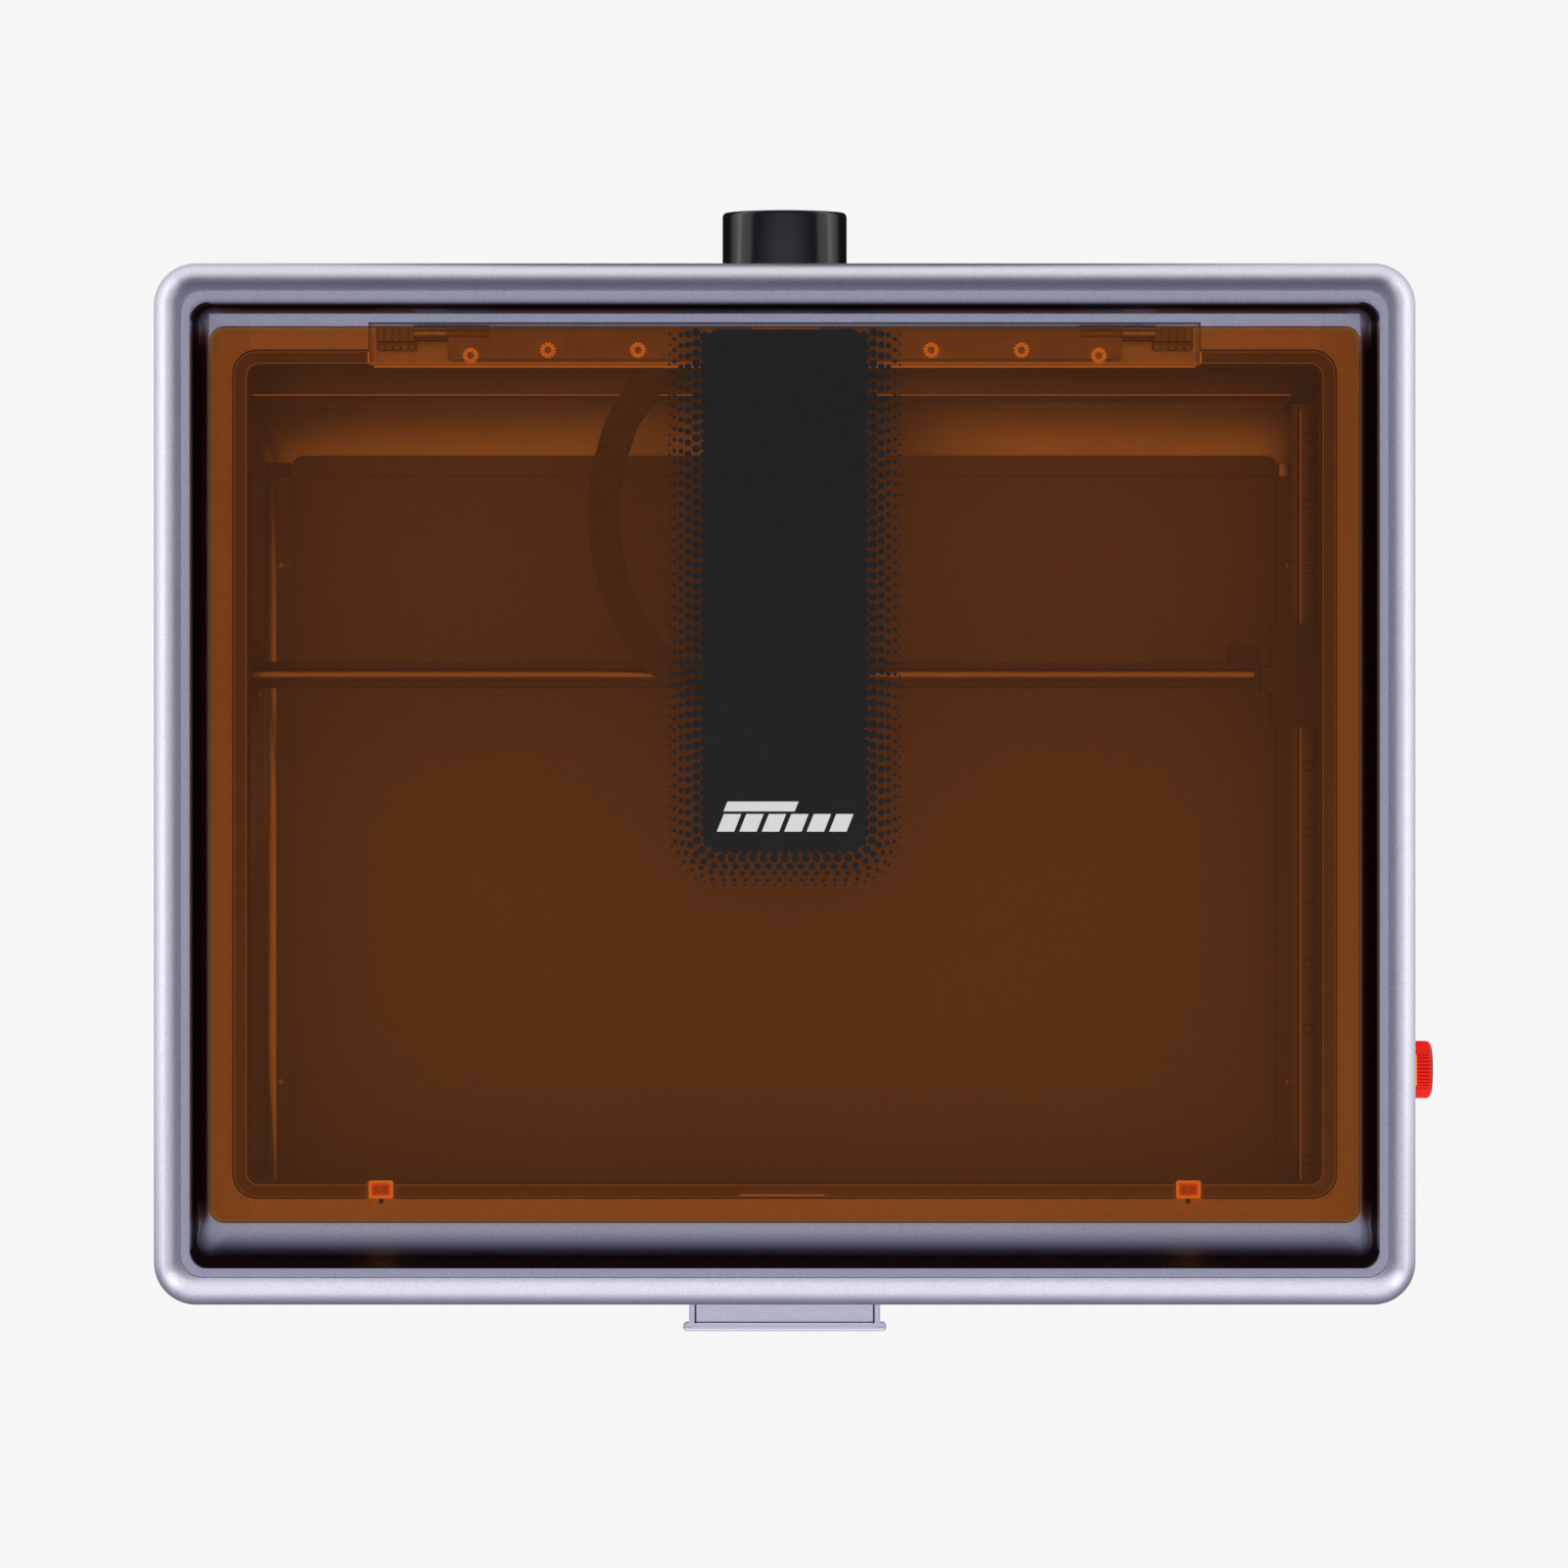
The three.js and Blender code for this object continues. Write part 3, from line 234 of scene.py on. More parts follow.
def steep_shade(nodes, colour):
    """The colour with painted shade: nearly black on the steep walls round the lid's recess and beside the
    glass, a little darker on the side ledges.
    """
    calc, ramp = nodes.calc, nodes.ramp
    place = nodes.add("ShaderNodeSeparateXYZ", {"Vector": nodes.place})
    middle_y = CENTRE.y + (RECESS["rear"] + RECESS["front"]) / 2 * MM
    half_y = (RECESS["rear"] - RECESS["front"]) / 2 * MM
    corner = RECESS["corner"] * MM
    from_x = calc("ABSOLUTE", calc("SUBTRACT", place.outputs[0], CENTRE.x))
    from_y = calc("ABSOLUTE", calc("SUBTRACT", place.outputs[1], middle_y))
    # inside the recess: within a rectangle with rounded corners
    past_x = calc("MAXIMUM", calc("SUBTRACT", from_x, RECESS["side"] * MM - corner), 0.0)
    past_y = calc("MAXIMUM", calc("SUBTRACT", from_y, half_y - corner), 0.0)
    past = calc("SQRT", calc("ADD", calc("POWER", past_x, 2.0), calc("POWER", past_y, 2.0)))
    inside = calc("LESS_THAN", past, corner)
    normal = nodes.add("ShaderNodeNewGeometry").outputs["Normal"]
    facing = nodes.add("ShaderNodeSeparateXYZ", {"Vector": normal})
    steep = ramp(facing.outputs[2], 0.6, 0.9, 0.93, 0.0)
    beside = ramp(from_x, (GLASS.x1 - 0.6) * MM, (GLASS.x1 + 2.4) * MM, 0.0, 0.93)
    glass_y = calc("ABSOLUTE", calc("SUBTRACT", place.outputs[1], CENTRE.y + GLASS.y * MM))
    glass_half = (GLASS.y1 - GLASS.y0) / 2 * MM
    along = ramp(glass_y, glass_half - 0.012, glass_half + 0.005, 1.0, 0.25)
    ledge = ramp(from_x, (OPENING["side"] - 1) * MM, (OPENING["side"] + 1) * MM, 0.0, 0.15)
    dark = calc("MAXIMUM", steep, calc("MULTIPLY", calc("MAXIMUM", beside, ledge), along))
    mix = nodes.add("ShaderNodeMix", {"Factor": calc("MULTIPLY", inside, dark)}, data_type="RGBA")
    nodes.plug(mix, 6, colour)
    # the near-black colour of the painted shade
    mix.inputs[7].default_value = (0.03, 0.011, 0.012, 1)
    return mix.outputs[2]


def paint_finish(name, roughness=0.345, recess=False, glow=0.0):
    """Satin metallic paint: small flakes in a pale violet grey."""
    nodes = Nodes(name)
    flakes = nodes.add(
        "ShaderNodeTexVoronoi", {"Vector": nodes.place, "Scale": 2600.0}, feature="F1"
    )
    flake_value = nodes.add("ShaderNodeSeparateColor", {"Color": flakes.outputs["Color"]})
    cloud = nodes.noise(14, 2)
    base = nodes.tint(flake_value.outputs[0], (0.765, 0.76, 0.86), (0.885, 0.88, 0.985))
    # painted shade on the walls and ledges of the frame's recess
    if recess:
        base = steep_shade(nodes, base)
    uneven = nodes.add(
        "ShaderNodeMath",
        {
            0: nodes.spread(cloud, roughness - 0.015, roughness + 0.015),
            1: nodes.spread(flake_value.outputs[1], -0.03, 0.03),
        },
        operation="ADD",
    )
    shader = nodes.add(
        "ShaderNodeBsdfPrincipled",
        {
            "Base Color": base,
            "Metallic": 1.0,
            "Roughness": uneven.outputs[0],
            "Normal": nodes.bump(nodes.noise(1800, 2), 0.08, 0.0001),
            # with glow above zero the paint shines: painted light
            "Emission Color": (0.8, 0.79, 0.9, 1),
            "Emission Strength": glow,
        },
    )
    return nodes.shown(shader)


def acrylic_finish():
    """Orange see-through acrylic: clear with a tint, a little body colour, and gloss at a slant."""
    nodes = Nodes("orange_acrylic")
    haze = nodes.noise(6, 2)
    body = nodes.add(
        "ShaderNodeBsdfPrincipled",
        {
            "Base Color": nodes.tint(haze, (0.92, 0.36, 0.08), (0.98, 0.38, 0.09)),
            "Roughness": 0.06,
            "IOR": 1.49,
            "Coat Weight": 1.0,
            "Coat Roughness": 0.02,
        },
    )
    clear = nodes.add(
        "ShaderNodeBsdfTransparent",
        {"Color": nodes.tint(haze, (0.99, 0.69, 0.36), (1.0, 0.71, 0.38))},
    )
    fresnel = nodes.add("ShaderNodeFresnel", {"IOR": 1.49})
    share = nodes.add(
        "ShaderNodeMapRange",
        {"Value": fresnel.outputs[0], "From Min": 0.04, "From Max": 1.0, "To Min": 0.115, "To Max": 1.0},
    )
    mixed = nodes.add("ShaderNodeMixShader", {0: share.outputs[0]})
    nodes.tree.links.new(clear.outputs[0], mixed.inputs[1])
    nodes.tree.links.new(body.outputs[0], mixed.inputs[2])
    return nodes.shown(mixed)


PAINT = paint_finish("satin_metallic_paint")
# the frame's paint, with painted shade round its recess
FRAME_PAINT = paint_finish("frame_paint", recess=True)
# the handle's paint glows a little: painted light that brightens it
HANDLE_PAINT = paint_finish("handle_paint", roughness=0.36, glow=0.14)
ACRYLIC = acrylic_finish()
ACRYLIC_EDGE = solid_finish(
    "acrylic_edge", (0.05, 0.008, 0.003), (0.08, 0.013, 0.004), (0.1, 0.14), grain=200, coat=0.5
)
PRINT = solid_finish("black_print", (0.027, 0.0262, 0.022), (0.033, 0.032, 0.028), (0.5, 0.6), grain=400)
SEAL = solid_finish("seal_rubber", (0.31, 0.305, 0.3), (0.37, 0.365, 0.36), (0.6, 0.75), relief=0.15)
SEAL_LINE = solid_finish("seal_shadow", (0.02, 0.02, 0.02), (0.03, 0.03, 0.03), (0.6, 0.75))
# glowing orange and gold lines: painted highlights on edges seen through the lid
GLINT = solid_finish("lit_edge", (0.9, 0.42, 0.1), (1.0, 0.5, 0.14), (0.2, 0.3), grain=300, glow=0.42)
FAINT_GLINT = solid_finish(
    "faint_lit_edge", (0.9, 0.42, 0.1), (1.0, 0.5, 0.14), (0.2, 0.3), grain=300, glow=0.14
)
SEAL_EDGE = solid_finish(
    "lit_seal_lip", (0.8, 0.6, 0.2), (0.9, 0.68, 0.24), (0.2, 0.3), grain=300, glow=0.1
)
FOOT = solid_finish("foot_rubber", (0.014, 0.014, 0.014), (0.022, 0.022, 0.022), (0.75, 0.9), relief=0.2)
BELT = solid_finish("belt_rubber", (0.012, 0.012, 0.013), (0.02, 0.02, 0.021), (0.65, 0.8), relief=0.1)
PLASTIC = solid_finish(
    "black_plastic", (0.0085, 0.0085, 0.009), (0.013, 0.013, 0.014), (0.3, 0.4), relief=0.05
)
DUCT_PLASTIC = solid_finish(
    "duct_plastic", (0.006, 0.0055, 0.005), (0.009, 0.0085, 0.0075), (0.17, 0.21), relief=0.02, specular=1.0
)
CHAIN_PLASTIC = solid_finish(
    "chain_plastic", (0.13, 0.125, 0.12), (0.17, 0.165, 0.16), (0.4, 0.5), relief=0.06
)
# the red glows: painted light that brightens the stop cap and the knob grip
RED = solid_finish(
    "red_plastic", (0.7, 0.006, 0.001), (0.88, 0.01, 0.002), (0.1, 0.16), specular=0.5, glow=0.52,
)
# a darker red: painted shade for the cap's grooves and its turned-over end
RED_SHADE = solid_finish("red_groove_shade", (0.2, 0.002, 0.001), (0.28, 0.003, 0.001), (0.2, 0.3), specular=0.15)
# glows a little: painted light in the latch cores
LATCH_RED = solid_finish(
    "latch_core", (0.8, 0.2, 0.04), (0.95, 0.26, 0.05), (0.2, 0.3), grain=300, glow=0.12
)
YELLOW = solid_finish("yellow_plastic", (0.85, 0.28, 0.012), (0.95, 0.36, 0.02), (0.3, 0.4))
# glows strongly: painted light on the arc on the stop cap
ORANGE_RING = solid_finish("orange_ring", (1.0, 0.16, 0.01), (1.0, 0.2, 0.015), (0.2, 0.3), glow=0.8)
ZINC = solid_finish(
    "zinc_sheet", (0.42, 0.41, 0.40), (0.56, 0.55, 0.54), (0.35, 0.5), 0.9, grain=120, relief=0.05
)
FLOOR_SHEET = solid_finish(
    "floor_sheet", (0.84, 0.82, 0.8), (0.95, 0.93, 0.9), (0.24, 0.3), 0.95, grain=60, relief=0.03
)
DARK_SHEET = solid_finish(
    "dark_sheet", (0.29, 0.285, 0.28), (0.35, 0.345, 0.34), (0.4, 0.48), 0.85, relief=0.1
)
BAY_SHEET = solid_finish(
    "bay_sheet", (0.23, 0.23, 0.23), (0.28, 0.28, 0.28), (0.38, 0.45), 0.85, relief=0.08
)
STEEL = solid_finish(
    "bright_steel", (0.66, 0.65, 0.64), (0.8, 0.79, 0.78), (0.18, 0.26), 1.0,
    grain=600, stretch=(1, 12, 12),
)
ALUMINIUM = solid_finish(
    "aluminium", (0.55, 0.55, 0.56), (0.66, 0.66, 0.67), (0.3, 0.4), 1.0, grain=700, relief=0.05
)
CARRIAGE = solid_finish(
    "carriage_plastic", (0.17, 0.165, 0.16), (0.21, 0.205, 0.2), (0.4, 0.5), relief=0.05
)
BEAM_SHEET = solid_finish("beam_sheet", (0.13, 0.13, 0.13), (0.17, 0.17, 0.17), (0.4, 0.46), 0.85)
MOTOR = solid_finish("motor_black", (0.02, 0.02, 0.021), (0.03, 0.03, 0.031), (0.35, 0.45), 0.6)
BOARD = solid_finish("circuit_board", (0.008, 0.07, 0.025), (0.012, 0.1, 0.035), (0.3, 0.45))
LENS = solid_finish("lens_glass", (0.005, 0.006, 0.012), (0.01, 0.012, 0.02), (0.04, 0.06), coat=1.0)
# pale print that glows: painted light on top of the print's own colour
PALE_MARK = solid_finish(
    "pale_print", linear(225, 224, 220), linear(238, 236, 232), (0.5, 0.6), grain=400, glow=0.55
)

# ------------------------------------------------------------------ building pieces


def circle(count):
    """Angles in radians of evenly spaced steps round a circle."""
    return [2 * math.pi * i / count for i in range(count)]


def span(side, near, far):
    """From near to far on one side of the middle, lowest first."""
    return tuple(sorted((side * near, side * far)))


def level(outline, z):
    return [(x, y, z) for x, y in outline]


class Build:
    """Collects solids for one piece, then makes the object."""

    def __init__(self):
        self.verts = []
        self.faces = []

    def add(self, verts, faces):
        start = len(self.verts)
        self.verts.extend(Vector(v) for v in verts)
        self.faces.extend([start + i for i in face] for face in faces)
        return self

    def box(self, x, y, z):
        """A box from (low, high) pairs along each axis."""
        x, y, z = sorted(x), sorted(y), sorted(z)
        verts = [(a, b, c) for c in z for b in y for a in x]
        faces = [
            (0, 2, 3, 1), (4, 5, 7, 6), (0, 1, 5, 4), (2, 6, 7, 3), (0, 4, 6, 2), (1, 3, 7, 5),
        ]
        return self.add(verts, faces)

    def prism(self, outline, low, high):
        """An outline of (x, y) points, anticlockwise, between two heights."""
        count = len(outline)
        verts = [(x, y, low) for x, y in outline] + [(x, y, high) for x, y in outline]
        faces = [tuple(reversed(range(count))), tuple(range(count, 2 * count))]
        faces += [(i, (i + 1) % count, count + (i + 1) % count, count + i) for i in range(count)]
        return self.add(verts, faces)

    def loft(self, loops, closed=False):
        """A skin through loops with the same number of points; closed joins the last to the first."""
        count = len(loops[0])
        verts = [point for loop in loops for point in loop]
        faces = []
        for ring in range(len(loops) - (0 if closed else 1)):
            a, b = ring * count, ((ring + 1) % len(loops)) * count
            for i in range(count):
                j = (i + 1) % count
                faces.append((a + i, a + j, b + j, b + i))
        if not closed:
            faces.append(tuple(reversed(range(count))))
            faces.append(tuple(range((len(loops) - 1) * count, len(loops) * count)))
        return self.add(verts, faces)

    def turned(self, profile, centre=(0, 0, 0), axis="Z", steps=48, closed=False):
        """A profile of (radius, height) points turned about an axis through centre."""
        loops = []
        for radius, height in profile:
            radius = max(radius, 0.01)
            loop = []
            for angle in circle(steps):
                loop.append(
                    turned_to((radius * math.cos(angle), radius * math.sin(angle), height), axis, centre)
                )
            loops.append(loop)
        return self.loft(loops, closed)

    def rod(self, radius, low, high, centre=(0, 0, 0), axis="Z", steps=24, soft=0.0):
        profile = [(radius, low), (radius, high)]
        if soft:
            profile = [
                (radius - soft, low), (radius, low + soft), (radius, high - soft), (radius - soft, high)
            ]
        return self.turned(profile, centre, axis, steps)

    def mesh(self, name):
        mesh = bpy.data.meshes.new(name)
        mesh.from_pydata([at(*v) for v in self.verts], [], self.faces)
        mesh.validate()
        work = bmesh.new()
        work.from_mesh(mesh)
        bmesh.ops.recalc_face_normals(work, faces=work.faces)
        work.to_mesh(mesh)
        work.free()
        return mesh

    def piece(self, name, material, body, node=(), bevel=0.0, sharp=35, segments=2):
        """Make the object, ride it on a CAD body and let it stand for CAD nodes."""
        made = bpy.data.objects.new(name, self.mesh(name))
        scene.collection.objects.link(made)
        finish_piece(made, material, bevel, sharp, segments)
        if body:
            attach(made, body)
        if node:
            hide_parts(*([node] if isinstance(node, str) else node))
        return made


def turned_to(point, axis, centre):
    x, y, z = point
    if axis == "X":
        x, y, z = z, x, y
    elif axis == "Y":
        x, y, z = y, z, x
    return (x + centre[0], y + centre[1], z + centre[2])


def finish_piece(made, material, bevel=0.0, sharp=35, segments=2):
    mesh = made.data
    mesh.materials.clear()
    mesh.materials.append(material)
    for polygon in mesh.polygons:
        polygon.use_smooth = True
    if bevel:
        edge = made.modifiers.new("soft_edges", "BEVEL")
        edge.width = bevel * MM
        edge.segments = segments
        edge.limit_method = "ANGLE"
        edge.angle_limit = math.radians(sharp)
        edge.harden_normals = True
        edge.use_clamp_overlap = True
    mesh.set_sharp_from_angle(angle=math.radians(sharp))
    return made


def settled(made):
    """Apply every modifier, so that the mesh itself is final."""
    view = bpy.context.evaluated_depsgraph_get()
    mesh = bpy.data.meshes.new_from_object(made.evaluated_get(view))
    made.modifiers.clear()
    made.data = mesh
    return made


def carved(made, *cutters):
    """Cut solids out of a piece, then drop the cutters."""
    for cutter in cutters:
        step = made.modifiers.new("cut", "BOOLEAN")
        step.operation = "DIFFERENCE"
        step.solver = "EXACT"
        step.object = cutter
    settled(made)
    for cutter in cutters:
        bpy.data.objects.remove(cutter)
    return made


def combined(made, operation, other):
    """Join a piece with a tool, or keep what they share, then drop the tool."""
    step = made.modifiers.new("combine", "BOOLEAN")
    step.operation = operation
    step.solver = "EXACT"
    step.object = other
    settled(made)
    bpy.data.objects.remove(other)


def tool(build):
    made = bpy.data.objects.new("cutter", build.mesh("cutter"))
    scene.collection.objects.link(made)
    return made


def rounded(x0, x1, y0, y1, radius, z=None, steps=14):
    """The points of a rectangle with round corners, anticlockwise."""
    points = []
    corners = [(x1, y1, -1, -1), (x0, y1, 1, -1), (x0, y0, 1, 1), (x1, y0, -1, 1)]
    for quarter, (x, y, in_x, in_y) in enumerate(corners):
        for step in range(steps + 1):
            angle = (quarter + step / steps) * math.pi / 2
            px = x + radius * (in_x + math.cos(angle))
            py = y + radius * (in_y + math.sin(angle))
            points.append((px, py) if z is None else (px, py, z))
    return points


def arc(first, last, count):
    """Angles in radians from first to last degrees."""
    return [math.radians(first + (last - first) * i / (count - 1)) for i in range(count)]


# ------------------------------------------------------------------ enclosure


def case_loop(inset, z, fall=0.68):
    return rounded(
        inset - HALF_X, HALF_X - inset, inset - HALF_Y, HALF_Y - inset, EDGE - fall * inset, z
    )


def taken(radius, z):
    below = max(0.0, RECESS_FLOOR + radius - z)
    return radius - math.sqrt(max(0.0, radius * radius - below * below))


def recess_loop(z, widen=0.0, front_fillet=18.0, side_fillet=9.0, rear_fillet=7.5):
    side = RECESS["side"] - taken(side_fillet, z) + widen
    return rounded(
        -side,
        side,
        RECESS["front"] + taken(front_fillet, z) - widen,
        RECESS["rear"] - taken(rear_fillet, z) + widen,
        RECESS["corner"] + 0.3 * taken(side_fillet, z),
        z,
    )


def opening_loop(z, grow=0.0):
    o = OPENING
    return rounded(
        -o["side"] - grow, o["side"] + grow, o["front"] - grow, o["rear"] + grow, o["corner"] + grow, z
    )


def build_top_frame():
    loops = [
        case_loop(2, CASE.z0), case_loop(0.6, CASE.z0 + 2), case_loop(0.15, CASE.z0 + 3.2),
        case_loop(0, CASE.z0 + 4.6)
    ]
    rim_z = TOP - EDGE * math.sin(math.radians(RIM_SWEEP))
    for angle in arc(0, RIM_SWEEP, 22):
        loops.append(case_loop(EDGE * (1 - math.cos(angle)), rim_z + EDGE * math.sin(angle)))
    inset = EDGE * (1 - math.cos(math.radians(RIM_SWEEP)))
    band = TOP - 0.7
    loops += [
        case_loop(inset + 0.12, TOP - 0.12),
        case_loop(inset + 0.2, band - 0.1),
        case_loop(inset + 0.3, band),
        case_loop(16.9, band),
        case_loop(17.2, band - 0.1),
    ]
    loops.append(recess_loop(band - 0.4))
    heights = [17.9, 14, 11, 8.6, 6.8, 5.2, 4, 3, 2.1, 1.4, 0.8, 0.4, 0.15, 0]
    loops += [recess_loop(RECESS_FLOOR + h) for h in heights]
    loops += [
        opening_loop(RECESS_FLOOR, 0.4), opening_loop(RECESS_FLOOR - 0.4), opening_loop(CASE.z0 + 0.2)
    ]
    loops += [opening_loop(CASE.z0, 6), case_loop(6, CASE.z0)]
    frame_piece = Build().loft(loops, closed=True)
    top = frame_piece.piece("top_frame_skin", FRAME_PAINT, None, sharp=40)
    combined(top, "UNION", tool(Build().box((-190, 190), (188.4, 210.5), (161.5, RECESS_FLOOR - 0.2))))
    # the pocket is cut after the tub is joined, so that it stays open above
    pocket_front = Build().box((-187.5, 187.5), (190.4, 208), (164.0, 174.6))
    reach = GLASS.x1 + 0.7
    swing = tool(Build().rod(8.98, -reach, reach, (0, HINGE_Y, HINGE_Z), "X", 64))
    combined(swing, "INTERSECT", tool(Build().box((-300, 300), (150, 230), (RECESS_FLOOR, 210))))
    carved(top, tool(pocket_front), swing)
    finish_piece(top, FRAME_PAINT, 0.0, 40)
    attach(top, "case")
    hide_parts("top_frame")
    return top


build_top_frame()


def vent_outline(y, z0, z1, half):
    """A slot standing on the side wall, as (y, z) points with round ends."""
    points = []
    for angle in arc(0, 180, 9):
        points.append((y + half * math.cos(angle), z1 - half + half * math.sin(angle)))
    for angle in arc(180, 360, 9):
        points.append((y + half * math.cos(angle), z0 + half + half * math.sin(angle)))
    return points


def build_lower_shell():
    z0, z1 = SHELL.z0, SHELL.z1
    loops = [
        case_loop(7, z0), case_loop(4.5, z0), case_loop(3, z0 + 1.5), case_loop(2.2, z0 + 3.2),
        case_loop(2, z0 + 5)
    ]
    loops += [case_loop(2, z1 - 0.3), case_loop(2.3, z1), case_loop(5.5, z1), case_loop(5.5, z0 + 0.5)]
    shell = Build().loft(loops, closed=True).piece("lower_shell_skin", PAINT, None, sharp=40)
    cutters = []
    for side in (-1, 1):
        for i in range(6):
            slot = Build().prism(vent_outline(-27 + 13 * i, 34, 72, 3), -8, 8)
            slot.verts = [Vector((side * 279.75 + v.z, v.x, v.y)) for v in slot.verts]
            cutters.append(tool(slot))
    cutters.append(tool(Build().box((-246, 246), (-240, -222), (12.5, 38))))
    cutters.append(tool(Build().rod(11.3, -9, 9, (279, CAP.y, CAP.z), "X", 48)))
    cutters.append(tool(Build().rod(9.3, -9, 9, (235, -230, 120), "Y", 48)))
    cutters.append(tool(Build().rod(29.0, -9, 9, (0, 230, DUCT.z), "Y", 64)))
    inlet = Box("power_inlet")
    rocker = Box("power_rocker")
    cutters.append(tool(Build().rod(6.5, -9, 9, (inlet.x, 230, inlet.z), "Y", 40)))
    cutters.append(
        tool(
            Build().box((rocker.x0 - 0.5, rocker.x1 + 0.5), (222, 240), (rocker.z - 7.5, rocker.z + 7.5))
        )
    )
    carved(shell, *cutters)
    finish_piece(shell, PAINT, 0.0, 40)
    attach(shell, "case")
    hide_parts("lower_shell")


build_lower_shell()

# ------------------------------------------------------------------ lid


def build_glass():
    g = GLASS
    loops = []
    for inset, z in [(0.45, g.z0), (0, g.z0 + 0.45), (0, g.z1 - 0.6), (0.18, g.z1 - 0.18), (0.6, g.z1)]:
        loops.append(rounded(g.x0 + inset, g.x1 - inset, g.y0 + inset, g.y1 - inset, 6.5 - inset, z, 16))
    sheet = Build().loft(loops).piece("lid_acrylic", ACRYLIC, "lid", "lid_glass", sharp=30)
    # along its cut edge the sheet is seen through its whole width, so the edge looks almost black
    sheet.data.materials.append(ACRYLIC_EDGE)
    for polygon in sheet.data.polygons:
        if abs(polygon.normal.z) < 0.5:
            polygon.material_index = 1


build_glass()

# rows of printed dots: distance from the strip, radius, pitch
DOT_ROWS = [
    (3.4, 1.82, 4.76), (7.05, 1.5, 4.89), (10.2, 1.16, 4.76), (13.2, 0.92, 5.02), (15.4, 0.58, 4.52)
]
PRINT_END = 0.95  # the print reaches this much further in front than at the sides


def print_path(offset):
    """A line from the middle of the printed strip's front end round to its left rear corner."""
    half = (MASK.x1 - MASK.x0) / 2
    corner = 8.0 + offset
    points = []
    side = half + offset
    front = MASK.y0 - offset - PRINT_END
    points.append((0.0, front))
    for angle in arc(270, 180, 24):
        points.append(
            (-side + corner + corner * math.cos(angle), front + corner + corner * math.sin(angle))
        )
    points.append((-side, MASK.y1 - 0.5))
    return points


def spaced(points, pitch, shift):
    """Evenly spaced points along a line."""
    found = []
    wanted = shift
    run = 0.0
    for (ax, ay), (bx, by) in zip(points, points[1:]):
        length = math.hypot(bx - ax, by - ay)
        while wanted <= run + length and length > 0:
            share = (wanted - run) / length
            found.append((ax + (bx - ax) * share, ay + (by - ay) * share))
            wanted += pitch
        run += length
    return found


def disc(build, x, y, radius, low, high, steps=14):
    outline = [(x + radius * math.cos(a), y + radius * math.sin(a)) for a in circle(steps)]
    build.prism(outline, low, high)


def build_print():
    half = (MASK.x1 - MASK.x0) / 2
    low, high = MASK.z0, MASK.z0 + 0.12
    strip = Build()
    strip.prism(rounded(-half + 0.9, half - 0.9, MASK.y0 + 0.9 - PRINT_END, MASK.y1, 6.5), low, high)
    scallops = Build()
    for x, y in spaced(print_path(-0.6), 4.46, 0.0):
        for side in (-1, 1) if x < -0.1 else (1,):
            disc(scallops, side * x, min(y, MASK.y1 - 2.2), 2.2, low, high - 0.01, 18)
    dots = Build()
    for row, (offset, radius, pitch) in enumerate(DOT_ROWS):
        for x, y in spaced(print_path(offset), pitch, pitch / 2 * (row % 2)):
            for side in (-1, 1) if x < -0.1 else (1,):
                if y + radius < GLASS.y1 - 0.6:
                    disc(dots, side * x, y, radius, low, high - 0.02, 16 if radius > 1 else 12)
    strip.piece("printed_strip", PRINT, "lid", "lid_mask")
    scallops.piece("printed_scallops", PRINT, "lid")
    dots.piece("printed_dots", PRINT, "lid")
    # a plain mark of slanting bars near the strip's front end
    mark = Build()
    slant = 0.4

    def bar(x0, x1, y0, y1):
        outline = [(x0, y0), (x1, y0), (x1 + slant * (y1 - y0), y1), (x0 + slant * (y1 - y0), y1)]
        mark.prism(outline, high + 0.01, high + 0.06)

    bar(-27.5, 4.5, -12.3, -7.9)
    for i in range(6):
        bar(-30.5 + 10.1 * i, -22.7 + 10.1 * i, -21.4, -13.5)
    mark.piece("printed_mark", PALE_MARK, "lid")


build_print()


def gasket_gaps():
    """Cutters for the gasket's open rear side and for the two catches."""
    gaps = [tool(Build().box((-187, 187), (170, 210), (170, 190)))]
    for catch in (Box("catch_left"), Box("catch_right")):
        x = (catch.x - 6.5, catch.x + 6.5)
        y = (catch.y - 6, catch.y + 6)
        gaps.append(tool(Build().box(x, y, (175.2, 190))))
    return gaps


def opened(made, material):
    """Cut the gaps out of a gasket piece and ride it on the case."""
    carved(made, *gasket_gaps())
    finish_piece(made, material, 0.0, 50)
    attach(made, "case")


def gasket_ring(extra, z):
    o = OPENING
    side, corner = o["side"] + extra, 5 + 0.82 * extra
    return rounded(-side, side, o["front"] - extra, o["rear"] + extra, corner, z, 16)


